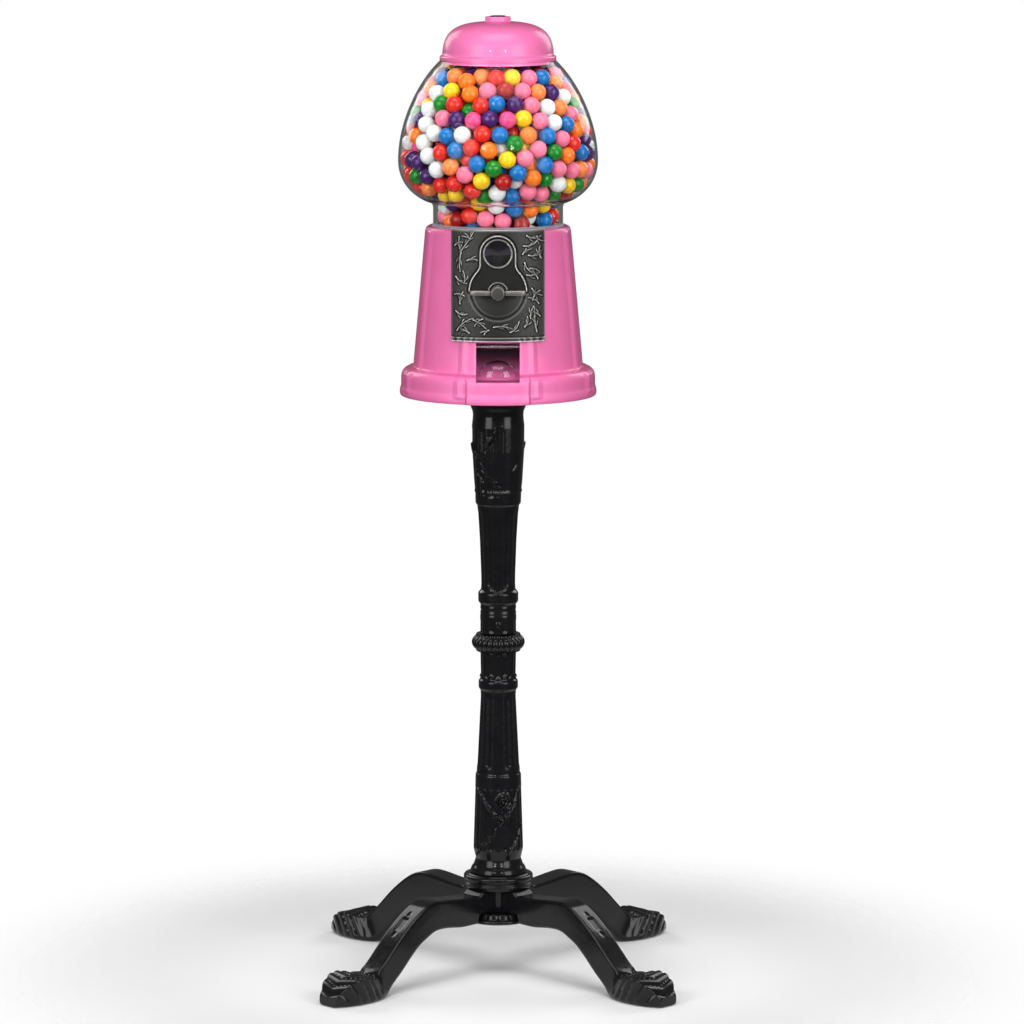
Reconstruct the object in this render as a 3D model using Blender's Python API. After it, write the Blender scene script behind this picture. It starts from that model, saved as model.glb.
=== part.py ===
"""Gumball machine on a cast four-leg stand, modelled as its real pieces.

Frame: origin at the floor under the column, +Z up, the coin plate faces -Y.
Sizes below are millimetres; the mesh helpers turn them into metres.
"""

import math

import bmesh
import bpy
from mathutils import Matrix, Vector

MM = 0.001
GAP = 0.3

# Heights of the main joints between pieces, from the floor up
PLATE_BOTTOM, PLATE_TOP = 50.0, 60.0
HUB_COLLAR_BOTTOM, HUB_TOP = 84.0, 98.5
COLLAR_BOTTOM, COLLAR_TOP = 323.2, 340.4
COLUMN_TOP = 579.5
BANK_PLATE_BOTTOM, BANK_PLATE_TOP = 580.0, 583.0
BODY_TOP = 747.3
HOPPER_RIM_TOP = 748.3
GLOBE_BOTTOM, GLOBE_TOP = 749.9, 908.6
LID_RIM_BOTTOM = 909.1
TOTAL_HEIGHT = 952.5

# Stand
COLUMN_BORE = 11.0
TIE_ROD_RADIUS, TIE_ROD_BOTTOM, TIE_ROD_TOP = 4.0, 44.0, 598.0
HUB_COLLAR_R, HUB_GROOVE = 34.6, 1.6
NECK_R, NECK_ARM_REACH, NECK_ARM_HALF_WIDTH = 19.5, 21.7, 12.0
NUT_POCKET_R, NUT_POCKET_TOP = 13.0, 56.0
SCREW_POCKET_R, SCREW_POCKET_TOP = 5.2, 54.0
LEG_ANGLES = {"front_right": -45, "rear_right": 45, "rear_left": 135, "front_left": -135}
LEG_SCREW_RADIUS_FROM_AXIS = 26.5
LEG_SCREW_SHANK, LEG_SCREW_HEAD = 2.5, 4.5

# Body: a cone of cast metal over a round skirt
WALL = 3.0
BODY_SHOULDER_Z, BODY_SHOULDER_R = 742.5, 71.8
BODY_FOOT_Z, BODY_FOOT_R = 608.5, 83.8
SKIRT_RADIUS, SKIRT_INNER_R = 95.8, 90.0
SKIRT_LOBE_HALF_WIDTH, SKIRT_LOBE_DEPTH, SKIRT_LOBE_FROM_R = 30.5, 3.0, 94.0
RIBS, RIB_HALF_WIDTH, RIB_HEIGHT = 8, 6.5, 1.4
DECK_RECESS_R, DECK_HOLE_R, DECK_BOTTOM, DECK_TOP = 65.3, 56.5, 741.5, 745.9
BANK_PLATE_R, BANK_PLATE_PLAY = 92.6, 0.4

# Openings in the body wall: (low, high) along x, y and z
MECHANISM_OPENING = ((-33.2, 33.2), (-95.0, -50.0), (650.5, 734.5))
DOOR_OPENING = ((-21.2, 21.2), (-110.0, -60.0), (602.0, 639.0))
CHUTE_OPENING = ((-22.6, 22.6), (-75.6, -60.0), (600.5, 640.4))

# Coin mechanism: everything turns about an axis along Y at this height
AXIS_Z = 689.0
WINDOW_Z, WINDOW_R = 726.0, 12.8
PLATE_HALF_WIDTH, PLATE_LOW, PLATE_HIGH = 45.5, 641.0, 748.6
PLATE_PROUD, PLATE_INNER, PLATE_LIP = 5.0, 1.75, 1.6
DISC_RADIUS, DISC_FACE_Y, DISC_BACK_Y = 28.0, -83.0, -74.0
WINDOW_RING_R, WINDOW_RING_FACE_Y, WINDOW_RING_BACK_Y = 17.7, -82.0, -73.0
SHAFT_RADIUS, SHAFT_HOLE = 3.0, 3.35
SHAFT_FRONT_Y, SHAFT_BACK_Y = -93.5, -37.4
BRACKET_FRONT_Y, BRACKET_BACK_Y = -58.6, -57.0
COIN_WHEEL_FRONT_Y, COIN_WHEEL_BACK_Y, COIN_WHEEL_R = -54.0, -51.0, 44.0
RATCHET_TEETH = 24
PLATE_SCREW_X, PLATE_SCREW_LOW, PLATE_SCREW_HIGH = 29.0, 657.0, 725.0
PAWL_X, PAWL_Z = 26.0, 646.0
HANDLE_HUB_R, HANDLE_FRONT_Y, HANDLE_BACK_Y = 7.0, -99.0, -83.8
GRIP_FRONT_Y, GRIP_BACK_Y = -96.5, -86.5
PINION_FRONT_Y, PINION_BACK_Y = -47.8, -38.2
NUT_FRONT_Y, NUT_BACK_Y = -50.5, -48.2

# The pinion (pitch radius 7.2) drives crown teeth of pitch radius 43.2, one pocket a turn
PINION_TEETH, CROWN_TEETH, POCKETS = 6, 36, 6
CROWN_TIP_Z, CROWN_ROOT_Z = AXIS_Z + 6.0, AXIS_Z + 8.8
POCKET_CIRCLE_R, POCKET_R = 29.0, 9.6
DROP_X, DROP_Y, DROP_R = 14.5, -25.1, 10.0
WHEEL_R, WHEEL_TOP = 45.5, 705.5
HOPPER_FLOOR_BOTTOM, HOPPER_FLOOR_TOP = 690.0, 693.5
HOPPER_BORE_R = 46.1
CENTRE_ROD_R = 3.2

# Chute and its flap door
DOOR_PIN_Y, DOOR_PIN_Z, DOOR_PIN_R, DOOR_PIN_HALF = -72.5, 635.0, 1.2, 22.3
CHUTE_MOUTH_Y, CHUTE_ROOF = -75.2, 640.0
CHUTE_WALL, CHUTE_FRONT_HALF, CHUTE_BACK_HALF, CHUTE_BACK_Y = 1.5, 20.7, 24.0, -10.0
DOOR_HALF_WIDTH, DOOR_BOTTOM = 20.0, 606.2
BUBBLE = (19.3, 15.0, 15.5)

# The glass is thin round the bowl and thicker in the neck below this height
GLASS_WALL, NECK_WALL, NECK_TOP = 1.8, 3.0, 769.5
BALLS_TOP, BALLS_BOTTOM, BALLS_GAP = 903.0, 718.8, 0.6
LID_WALL = 2.5
LOCK_R = 7.7


def clear_scene():
    for obj in list(bpy.data.objects):
        bpy.data.objects.remove(obj, do_unlink=True)


def material(name, colour, roughness, metallic=0.0, alpha=1.0):
    made = bpy.data.materials.new(name)
    made.use_nodes = True
    shader = made.node_tree.nodes["Principled BSDF"]
    shader.inputs["Base Color"].default_value = (*colour, 1.0)
    shader.inputs["Roughness"].default_value = roughness
    shader.inputs["Metallic"].default_value = metallic
    shader.inputs["Alpha"].default_value = alpha
    return made


def add(name, bm, finish=None):
    """An object from a bmesh in millimetres, shaded smooth except at real edges."""
    bmesh.ops.scale(bm, vec=(MM, MM, MM), verts=bm.verts)
    bmesh.ops.recalc_face_normals(bm, faces=bm.faces)
    if bm.calc_volume(signed=True) < 0:
        bmesh.ops.reverse_faces(bm, faces=bm.faces)
    mesh = bpy.data.meshes.new(name)
    bm.to_mesh(mesh)
    bm.free()
    mesh.shade_smooth()
    mesh.set_sharp_from_angle(angle=math.radians(35))
    obj = bpy.data.objects.new(name, mesh)
    bpy.context.scene.collection.objects.link(obj)
    if finish:
        mesh.materials.append(finish)
    return obj


def combine(target, operation, shapes):
    """Unites shapes with the target, or cuts them out of it. The helpers stay as wires."""
    for number, bm in enumerate(shapes):
        helper = add(f"{target.name}_{operation.lower()}_{len(target.modifiers)}", bm)
        helper.hide_render = True
        helper.display_type = "WIRE"
        step = target.modifiers.new(f"{operation.title()} {number}", "BOOLEAN")
        step.operation = operation
        step.solver = "EXACT"
        step.object = helper
    return target


def cut(target, *shapes):
    return combine(target, "DIFFERENCE", shapes)


def unite(target, *shapes):
    return combine(target, "UNION", shapes)


def turned(outline, steps=32, change=None):
    """A solid of revolution about Z from a closed outline of (radius, height) points.

    change(radius, height, angle) may return another radius, for ribs and lobes.
    """
    bm = bmesh.new()
    rings = []
    for radius, height in outline:
        if radius < 1e-6:
            rings.append([bm.verts.new((0, 0, height))] * steps)
            continue
        ring = []
        for k in range(steps):
            angle = math.tau * k / steps
            r = change(radius, height, angle) if change else radius
            ring.append(bm.verts.new((r * math.cos(angle), r * math.sin(angle), height)))
        rings.append(ring)
    for ring, following in zip(rings, rings[1:] + rings[:1]):
        for k in range(steps):
            n = (k + 1) % steps
            corners = list(dict.fromkeys((ring[k], ring[n], following[n], following[k])))
            if len(corners) > 2:
                bm.faces.new(corners)
    return bm


def prism(outline, low, high, axis="Z"):
    """A closed outline extruded between two positions along Z, Y or X."""
    seat = {
        "Z": lambda a, b, c: (a, b, c),
        "Y": lambda a, b, c: (a, c, b),
        "X": lambda a, b, c: (c, a, b),
    }[axis]
    bm = bmesh.new()
    face = bm.faces.new([bm.verts.new(seat(a, b, low)) for a, b in outline])
    made = bmesh.ops.extrude_face_region(bm, geom=[face])["geom"]
    moved = [v for v in made if isinstance(v, bmesh.types.BMVert)]
    bmesh.ops.translate(bm, vec=Vector(seat(0, 0, high - low)), verts=moved)
    bmesh.ops.recalc_face_normals(bm, faces=bm.faces)
    return bm


def box(x, y, z):
    """A block between the (low, high) pairs."""
    corners = [(x[0], y[0]), (x[1], y[0]), (x[1], y[1]), (x[0], y[1])]
    return prism(corners, z[0], z[1])


def circle(radius, steps=16, centre=(0, 0), turn=0.0):
    return [
        (
            centre[0] + radius * math.cos(math.tau * (k + turn) / steps),
            centre[1] + radius * math.sin(math.tau * (k + turn) / steps),
        )
        for k in range(steps)
    ]


def rod(radius, low, high, axis="Z", centre=(0, 0), steps=16, turn=0.0):
    return prism(circle(radius, steps, centre, turn), low, high, axis)


def pipe(outer, bore, low, high, steps=24):
    return turned([(outer, high), (outer, low), (bore, low), (bore, high)], steps)


def bezier(start, first, second, end, steps):
    """Points along a cubic curve, without its last point."""
    points = []
    for k in range(steps):
        t = k / steps
        weights = ((1 - t) ** 3, 3 * t * (1 - t) ** 2, 3 * t * t * (1 - t), t**3)
        corners = (start, first, second, end)
        points.append(tuple(sum(w * p[i] for w, p in zip(weights, corners)) for i in (0, 1)))
    return points


def inset(points, distance):
    """The same open outline moved to its right-hand side, which is inwards going down."""
    moved = []
    for k, point in enumerate(points):
        before = Vector(points[max(k - 1, 0)])
        after = Vector(points[min(k + 1, len(points) - 1)])
        along = (after - before).normalized()
        moved.append((point[0] + along[1] * distance, point[1] - along[0] * distance))
    return moved


def body_radius(z):
    slope = (BODY_FOOT_R - BODY_SHOULDER_R) / (BODY_SHOULDER_Z - BODY_FOOT_Z)
    return BODY_SHOULDER_R + (BODY_SHOULDER_Z - z) * slope


def globe_outline():
    """Outer side of the glass, from its mouth down to the end of its neck."""
    widest = (98.2, 811.2)
    upper = bezier((57.0, GLOBE_TOP), (77.0, 890.5), (98.2, 850.0), widest, 5)
    lower = bezier(widest, (98.2, 787.0), (80.0, 772.5), (64.0, 769.0), 5)
    return upper + lower + [(63.9, 766.0), (63.9, GLOBE_BOTTOM)]


def inside_glass(gap=0.0):
    """The inner side of the glass, or a line this far inside it."""
    outer = globe_outline()
    bowl, neck = inset(outer, GLASS_WALL + gap), inset(outer, NECK_WALL + gap)
    return [b if o[1] > NECK_TOP else n for o, b, n in zip(outer, bowl, neck)]


def leg_sections():
    """(top, underside, half width) of each section, root to claw; points are (reach, height)."""
    return [
        ((22.0, 83.7), (22.0, 60.3), 12.3),
        ((32.5, 83.7), (32.0, 60.3), 12.3),
        ((38.0, 79.5), (38.0, 60.3), 12.3),
        ((40.0, 79.5), (40.0, 52.0), 12.3),
        ((60.0, 81.0), (60.0, 52.0), 12.3),
        ((84.0, 83.5), (80.0, 54.3), 12.3),
        ((98.0, 84.0), (92.0, 54.5), 12.3),
        ((110.0, 81.3), (100.0, 53.0), 12.3),
        ((122.0, 74.8), (107.5, 49.5), 12.3),
        ((135.0, 65.5), (118.5, 43.5), 12.3),
        ((148.0, 54.5), (130.0, 34.0), 12.3),
        ((162.0, 41.0), (143.5, 21.0), 12.3),
        ((175.0, 29.0), (157.0, 9.5), 12.6),
        ((182.0, 25.0), (166.0, 1.5), 15.0),
        ((189.0, 25.0), (176.0, 0.0), 19.5),
        ((200.0, 27.5), (191.0, 0.0), 22.5),
        ((212.0, 26.5), (208.0, 0.0), 22.0),
        ((224.0, 20.0), (222.0, 0.0), 18.5),
        ((234.0, 10.0), (234.0, 1.0), 11.5),
    ]


def leg_shape(angle):
    """Rectangular sections with cut corners, joined from the hub to the claw."""
    chamfer = 3.0
    bm = bmesh.new()
    rings = []
    for top, under, half in leg_sections():
        top, under = Vector((top[0], 0, top[1])), Vector((under[0], 0, under[1]))
        depth = (top - under).length
        share = min(chamfer, depth / 3) / depth
        upper, lower = top.lerp(under, share), under.lerp(top, share)
        side = Vector((0, half, 0))
        edge = Vector((0, half - min(chamfer, half / 3), 0))
        ring = [top + edge, upper + side, lower + side, under + edge]
        ring += [under - edge, lower - side, upper - side, top - edge]
        rings.append([bm.verts.new(point) for point in ring])
    for ring, following in zip(rings, rings[1:]):
        for k in range(len(ring)):
            n = (k + 1) % len(ring)
            bm.faces.new((ring[k], ring[n], following[n], following[k]))
    bm.faces.new(rings[0])
    bm.faces.new(rings[-1])
    bmesh.ops.recalc_face_normals(bm, faces=bm.faces)
    bmesh.ops.rotate(bm, matrix=Matrix.Rotation(math.radians(angle), 3, "Z"), verts=bm.verts)
    return bm


def make_hub(iron, hole):
    start = math.asin(NECK_ARM_HALF_WIDTH / NECK_R)
    plan = []
    for quarter in range(4):
        turn = Matrix.Rotation(math.radians(45 + 90 * quarter), 2)
        corner = [(NECK_ARM_REACH, -NECK_ARM_HALF_WIDTH), (NECK_ARM_REACH, NECK_ARM_HALF_WIDTH)]
        for k in range(4):
            angle = start + (math.pi / 2 - 2 * start) * k / 3
            corner.append((NECK_R * math.cos(angle), NECK_R * math.sin(angle)))
        plan += [tuple(turn @ Vector(point)) for point in corner]
    collar = [
        (HUB_COLLAR_R, HUB_COLLAR_BOTTOM),
        (HUB_COLLAR_R, 88.2),
        (HUB_COLLAR_R - HUB_GROOVE, 89.0),
        (HUB_COLLAR_R - HUB_GROOVE, 90.4),
        (HUB_COLLAR_R, 91.2),
        (HUB_COLLAR_R, 95.6),
        (HUB_COLLAR_R - 2.0, HUB_TOP),
        (hole, HUB_TOP),
        (hole, HUB_COLLAR_BOTTOM),
    ]
    hub = add("stand_hub", turned(collar[::-1]), iron)
    unite(hub, prism(plan, PLATE_TOP + GAP, HUB_COLLAR_BOTTOM + 2))
    cut(hub, rod(hole, PLATE_TOP - 5, HUB_TOP + 5))

    edge = [(33.0, PLATE_BOTTOM), (36.0, 51.5), (36.0, 54.0), (33.0, 56.0), (31.0, PLATE_TOP)]
    plate_outline = [(hole, PLATE_BOTTOM), *edge, (hole, PLATE_TOP)]
    plate = add("hub_bottom_plate", turned(plate_outline, 24), iron)
    cut(plate, rod(NUT_POCKET_R, PLATE_BOTTOM - 1, NUT_POCKET_TOP, steps=24))
    return plate


def make_legs(iron, steel, plate):
    shank_hole = LEG_SCREW_SHANK + GAP
    head_top = SCREW_POCKET_TOP - GAP
    for name, angle in LEG_ANGLES.items():
        radians = math.radians(angle)
        place = LEG_SCREW_RADIUS_FROM_AXIS
        centre = (place * math.cos(radians), place * math.sin(radians))
        leg = add(f"leg_{name}", leg_shape(angle), iron)
        cut(leg, rod(shank_hole, PLATE_BOTTOM, 72.0, centre=centre))
        pocket = rod(SCREW_POCKET_R, PLATE_BOTTOM - 1, SCREW_POCKET_TOP, centre=centre)
        cut(plate, rod(shank_hole, PLATE_BOTTOM - 1, PLATE_TOP + 1, centre=centre), pocket)
        shank = rod(LEG_SCREW_SHANK, head_top - 3.0, 71.0, centre=centre)
        screw = add(f"leg_screw_{name}", shank, steel)
        unite(screw, rod(LEG_SCREW_HEAD, head_top - 3.5, head_top, centre=centre, steps=6))


def make_columns(iron, hole):
    lower = [
        (28.3, HUB_TOP + GAP),
        (27.3, 103.0),
        (24.5, 107.0),
        (22.5, 113.0),
        (24.2, 120.0),
        (25.0, 125.0),
        (22.7, 198.5),
        (21.5, 201.6),
        (17.5, 283.0),
        (19.6, 286.0),
        (19.6, 293.0),
        (17.5, 295.5),
        (18.0, COLLAR_BOTTOM - GAP),
        (COLUMN_BORE, COLLAR_BOTTOM - GAP),
        (COLUMN_BORE, HUB_TOP + GAP),
    ]
    add("lower_column", turned(lower[::-1], 20), iron)
    middle = (COLLAR_BOTTOM + COLLAR_TOP) / 2
    beads = [(22.5, COLLAR_BOTTOM)]
    for k in range(5):
        angle = math.radians(-60 + 30 * k)
        beads.append((19.0 + 7.4 * math.cos(angle), middle + 7.6 * math.sin(angle)))
    beads += [(22.5, COLLAR_TOP), (hole, COLLAR_TOP), (hole, COLLAR_BOTTOM)]
    add("column_collar", turned(beads[::-1], 20), iron)
    upper = [
        (18.0, COLLAR_TOP + GAP),
        (18.0, 361.6),
        (17.4, 365.0),
        (17.8, 366.0),
        (17.8, 368.0),
        (19.9, 373.0),
        (19.9, 382.0),
        (17.1, 385.0),
        (17.4, 402.0),
        (18.6, 435.0),
        (20.7, 469.5),
        (22.5, 471.5),
        (23.0, 484.0),
        (24.0, 494.0),
        (25.8, 524.0),
        (26.0, 549.0),
        (25.2, 556.0),
        (25.0, 560.0),
        (25.6, 564.0),
        (27.6, 568.5),
        (28.7, 573.0),
        (28.7, COLUMN_TOP),
        (COLUMN_BORE, COLUMN_TOP),
        (COLUMN_BORE, COLLAR_TOP + GAP),
    ]
    add("upper_column", turned(upper[::-1], 20), iron)


def make_stand(iron, steel):
    hole = TIE_ROD_RADIUS + 1.0
    plate = make_hub(iron, hole)
    make_legs(iron, steel, plate)
    make_columns(iron, hole)
    add("tie_rod", rod(TIE_ROD_RADIUS, TIE_ROD_BOTTOM, TIE_ROD_TOP), steel)
    bore = TIE_ROD_RADIUS + GAP
    washer_top = NUT_POCKET_TOP - GAP
    washer_bottom = washer_top - 2.5
    add("tie_rod_washer", pipe(11.0, bore, washer_bottom, washer_top), steel)
    nut = add("tie_rod_nut", rod(8.0, 46.0, washer_bottom - GAP, steps=6), steel)
    cut(nut, rod(bore, 30.0, 60.0))
    joint = add("rod_coupling_nut", rod(8.5, BANK_PLATE_TOP + GAP, 614.0, steps=6), steel)
    cut(joint, rod(bore, 570.0, 630.0))


def body_ribs(radius, height, angle):
    """Eight flat ribs down the cone, two on each quarter, and the lobe of the skirt."""
    if height < BODY_FOOT_Z:
        across = radius * math.cos(angle)
        at_front = math.sin(angle) < 0 and abs(across) < SKIRT_LOBE_HALF_WIDTH
        return radius + (SKIRT_LOBE_DEPTH if at_front and radius > SKIRT_LOBE_FROM_R else 0)
    for rib in range(RIBS):
        centre = math.tau * (rib + 0.5) / RIBS
        off = (angle - centre + math.pi) % math.tau - math.pi
        if abs(off) * radius < RIB_HALF_WIDTH and radius > body_radius(height) - 1.2:
            return radius + RIB_HEIGHT
    return radius


def make_body(pink, steel):
    inner_foot = (body_radius(BODY_FOOT_Z) - WALL, BODY_FOOT_Z - 2)
    outline = [
        (DECK_RECESS_R, BODY_TOP),
        (67.8, BODY_TOP),
        (70.6, 745.8),
        (BODY_SHOULDER_R, BODY_SHOULDER_Z),
        (BODY_FOOT_R, BODY_FOOT_Z),
        (88.0, 607.5),
        (92.0, 606.5),
        (95.0, 603.0),
        (SKIRT_RADIUS, 599.0),
        (SKIRT_RADIUS, 590.0),
        (97.0, 586.5),
        (97.3, 583.0),
        (96.8, 580.6),
        (96.0, BANK_PLATE_BOTTOM),
        (BANK_PLATE_R + BANK_PLATE_PLAY, BANK_PLATE_BOTTOM),
        (BANK_PLATE_R + BANK_PLATE_PLAY, BANK_PLATE_TOP + BANK_PLATE_PLAY),
        (SKIRT_INNER_R, BANK_PLATE_TOP + BANK_PLATE_PLAY),
        (SKIRT_INNER_R, 598.0),
        inner_foot,
        (BODY_SHOULDER_R - WALL, DECK_BOTTOM),
        (DECK_HOLE_R, DECK_BOTTOM),
        (DECK_HOLE_R, DECK_TOP),
        (DECK_RECESS_R, DECK_TOP),
    ]
    body = add("body_casting", turned(outline, 48, body_ribs), pink)
    cut(body, box(*MECHANISM_OPENING), box(*DOOR_OPENING), box(*CHUTE_OPENING))
    base = pipe(BANK_PLATE_R, TIE_ROD_RADIUS + 0.5, BANK_PLATE_BOTTOM, BANK_PLATE_TOP)
    add("bank_bottom_plate", base, steel)


def plate_shell():
    """The curved coin plate: a grid bent round the body, with a proud lip at its foot."""
    rows = [
        (PLATE_LOW, 0.0),
        (PLATE_LOW + 0.8, PLATE_LIP),
        (PLATE_LOW + 3.4, PLATE_LIP),
        (PLATE_LOW + 4.4, 0.0),
        (PLATE_HIGH - 1.0, 0.0),
        (PLATE_HIGH, -1.0),
    ]
    columns = 11
    bm = bmesh.new()

    def sheet(offset, bulge):
        made = []
        for z, extra in rows:
            radius = body_radius(z) + offset + (extra if bulge else 0)
            row = []
            for k in range(columns):
                x = PLATE_HALF_WIDTH * (2 * k / (columns - 1) - 1)
                row.append(bm.verts.new((x, -math.sqrt(radius**2 - x**2), z)))
            made.append(row)
        return made

    front, back = sheet(PLATE_PROUD, True), sheet(PLATE_INNER, False)
    last = len(rows) - 1
    for r in range(last):
        for k in range(columns - 1):
            for side in (front, back):
                bm.faces.new((side[r][k], side[r][k + 1], side[r + 1][k + 1], side[r + 1][k]))
        for k in (0, columns - 1):
            bm.faces.new((front[r][k], front[r + 1][k], back[r + 1][k], back[r][k]))
    for r in (0, last):
        for k in range(columns - 1):
            bm.faces.new((front[r][k], front[r][k + 1], back[r][k + 1], back[r][k]))
    bmesh.ops.recalc_face_normals(bm, faces=bm.faces)
    return bm


def plate_screw_places():
    for side, x in (("left", -PLATE_SCREW_X), ("right", PLATE_SCREW_X)):
        for level, z in (("low", PLATE_SCREW_LOW), ("high", PLATE_SCREW_HIGH)):
            yield f"plate_screw_{side}_{level}", (x, z)


def make_coin_plate(pewter, steel, brass):
    plate = add("coin_plate", plate_shell(), pewter)
    disc = rod(DISC_RADIUS, DISC_FACE_Y, DISC_BACK_Y, "Y", (0, AXIS_Z), 28)
    ring_span = (WINDOW_RING_FACE_Y, WINDOW_RING_BACK_Y)
    ring = rod(WINDOW_RING_R, *ring_span, "Y", (0, WINDOW_Z), 24)
    posts = [
        rod(3.6, BRACKET_FRONT_Y - GAP, -body_radius(z) + 4.0, "Y", (x, z))
        for _, (x, z) in plate_screw_places()
    ]
    unite(plate, disc, ring, *posts)
    cut(
        plate,
        rod(WINDOW_R, -95.0, -60.0, "Y", (0, WINDOW_Z), 24),
        rod(SHAFT_HOLE, -95.0, -60.0, "Y", (0, AXIS_Z), 20),
        *[
            rod(1.7, BRACKET_FRONT_Y - 8.0, -50.0, "Y", centre, 12)
            for _, centre in plate_screw_places()
        ],
    )

    outline = [(-35.5, 645.0), (-28.0, 640.6), (32.0, 640.6), (35.5, 645.0)]
    outline += [(35.5, 722.0), (28.0, 733.0), (-28.0, 733.0), (-35.5, 722.0)]
    bracket = add("mech_bracket", prism(outline, BRACKET_FRONT_Y, BRACKET_BACK_Y, "Y"), steel)
    cut(
        bracket,
        rod(14.0, -62.0, -50.0, "Y", (0, WINDOW_Z), 20),
        rod(SHAFT_HOLE, -62.0, -50.0, "Y", (0, AXIS_Z), 20),
        *[rod(2.3, -62.0, -50.0, "Y", centre) for _, centre in plate_screw_places()],
        rod(1.5, -62.0, -50.0, "Y", (PAWL_X, PAWL_Z), 12),
    )
    for name, centre in plate_screw_places():
        shank = rod(1.4, BRACKET_FRONT_Y - 7.5, BRACKET_BACK_Y + 1.0, "Y", centre, 12)
        screw = add(name, shank, steel)
        unite(screw, rod(3.6, BRACKET_BACK_Y + GAP, BRACKET_BACK_Y + 2.3, "Y", centre))

    bush = add("shaft_bushing", rod(5.5, -73.6, BRACKET_FRONT_Y - GAP, "Y", (0, AXIS_Z)), brass)
    cut(bush, rod(SHAFT_HOLE, -90.0, -50.0, "Y", (0, AXIS_Z), 20))


def gear_outline(teeth, root, tip, root_share, tip_share, turn=0.0):
    """Trapezoid teeth; the shares are a tooth's width over the pitch at its root and tip."""
    points = []
    for k in range(teeth):
        middle = math.tau * (k + turn) / teeth
        for radius, share in ((root, -root_share), (tip, -tip_share)):
            angle = middle + math.pi * share / teeth
            points.append((radius * math.cos(angle), AXIS_Z + radius * math.sin(angle)))
        for radius, share in ((tip, tip_share), (root, root_share)):
            angle = middle + math.pi * share / teeth
            points.append((radius * math.cos(angle), AXIS_Z + radius * math.sin(angle)))
    return points


def make_handle_train(pewter, steel, brass, axle):
    """The pieces that turn with the handle: their origins lie on the shaft's axis."""
    middle = (0, AXIS_Z)
    pieces = []
    hub = rod(HANDLE_HUB_R, HANDLE_FRONT_Y, HANDLE_BACK_Y, "Y", middle, 32)
    handle = add("handle", hub, pewter)
    grip = [(-27.5, 1.6), (-25.5, 2.8), (25.5, 2.8), (27.5, 1.6)]
    grip += [(27.5, -1.6), (25.5, -2.8), (-25.5, -2.8), (-27.5, -1.6)]
    unite(handle, prism([(x, AXIS_Z + z) for x, z in grip], GRIP_FRONT_Y, GRIP_BACK_Y, "Y"))
    cut(handle, rod(SHAFT_HOLE, -94.0, -70.0, "Y", middle, 20))
    shaft = rod(SHAFT_RADIUS, SHAFT_FRONT_Y, SHAFT_BACK_Y, "Y", middle, 20)
    pieces += [handle, add("handle_shaft", shaft, steel)]

    ratchet = []
    for k in range(RATCHET_TEETH):
        for radius, share in ((COIN_WHEEL_R, 0.0), (COIN_WHEEL_R - 2.0, 0.75)):
            angle = math.tau * (k + share) / RATCHET_TEETH
            ratchet.append((radius * math.cos(angle), AXIS_Z + radius * math.sin(angle)))
    wheel = add("coin_wheel", prism(ratchet, COIN_WHEEL_FRONT_Y, COIN_WHEEL_BACK_Y, "Y"), steel)
    unite(wheel, rod(8.0, -56.5, COIN_WHEEL_BACK_Y + 0.2, "Y", middle))
    notch = box((-13.0, 13.0), (-60.0, -45.0), (AXIS_Z + 32.7, AXIS_Z + 60.0))
    cut(wheel, notch, rod(SHAFT_HOLE, -70.0, -45.0, "Y", middle, 20))
    nut = add("shaft_nut", rod(5.2, NUT_FRONT_Y, NUT_BACK_Y, "Y", middle, 6), steel)
    cut(nut, rod(SHAFT_HOLE, -60.0, -45.0, "Y", middle, 20))
    teeth = gear_outline(PINION_TEETH, 5.4, 7.9, 0.6, 0.18, PINION_TEETH / 4)
    pinion = add("drive_pinion", prism(teeth, PINION_FRONT_Y, PINION_BACK_Y, "Y"), brass)
    cut(pinion, rod(SHAFT_HOLE, -60.0, -30.0, "Y", middle, 20))
    pieces += [wheel, nut, pinion]
    for piece in pieces:
        piece.parent = axle


def make_pawl(steel, spring_steel):
    pivot_at = (PAWL_X, PAWL_Z)
    hub = rod(3.6, COIN_WHEEL_FRONT_Y, COIN_WHEEL_BACK_Y, "Y", pivot_at)
    pawl = add("ratchet_pawl", hub, steel)
    arm = [(27.0, 648.6), (20.0, 647.8), (11.5, 646.0)]
    arm += [(10.8, 643.8), (18.0, 643.6), (26.0, 642.8)]
    unite(pawl, prism(arm, COIN_WHEEL_FRONT_Y + 0.2, COIN_WHEEL_BACK_Y - 0.2, "Y"))
    cut(pawl, rod(1.5, -70.0, -40.0, "Y", pivot_at, 12))
    add("pawl_pin", rod(1.2, -59.0, -46.2, "Y", pivot_at, 12), steel)

    turns, around, pitch, radius, front = 3, 10, 1.1, 1.9, -50.2
    points = [(PAWL_X + radius, front, PAWL_Z - 3.5)]
    for k in range(turns * around + 1):
        angle = math.tau * k / around
        x, z = PAWL_X + radius * math.cos(angle), PAWL_Z + radius * math.sin(angle)
        points.append((x, front + pitch * k / around, z))
    points.append((PAWL_X + radius, points[-1][1], PAWL_Z + 5.0))
    curve = bpy.data.curves.new("pawl_spring", "CURVE")
    curve.dimensions = "3D"
    curve.bevel_depth = 0.35 * MM
    curve.bevel_resolution = 1
    curve.use_fill_caps = True
    spline = curve.splines.new("POLY")
    spline.points.add(len(points) - 1)
    for slot, point in zip(spline.points, points):
        slot.co = (*(value * MM for value in point), 1)
    curve.materials.append(spring_steel)
    spring = bpy.data.objects.new("pawl_spring", curve)
    bpy.context.scene.collection.objects.link(spring)


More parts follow.
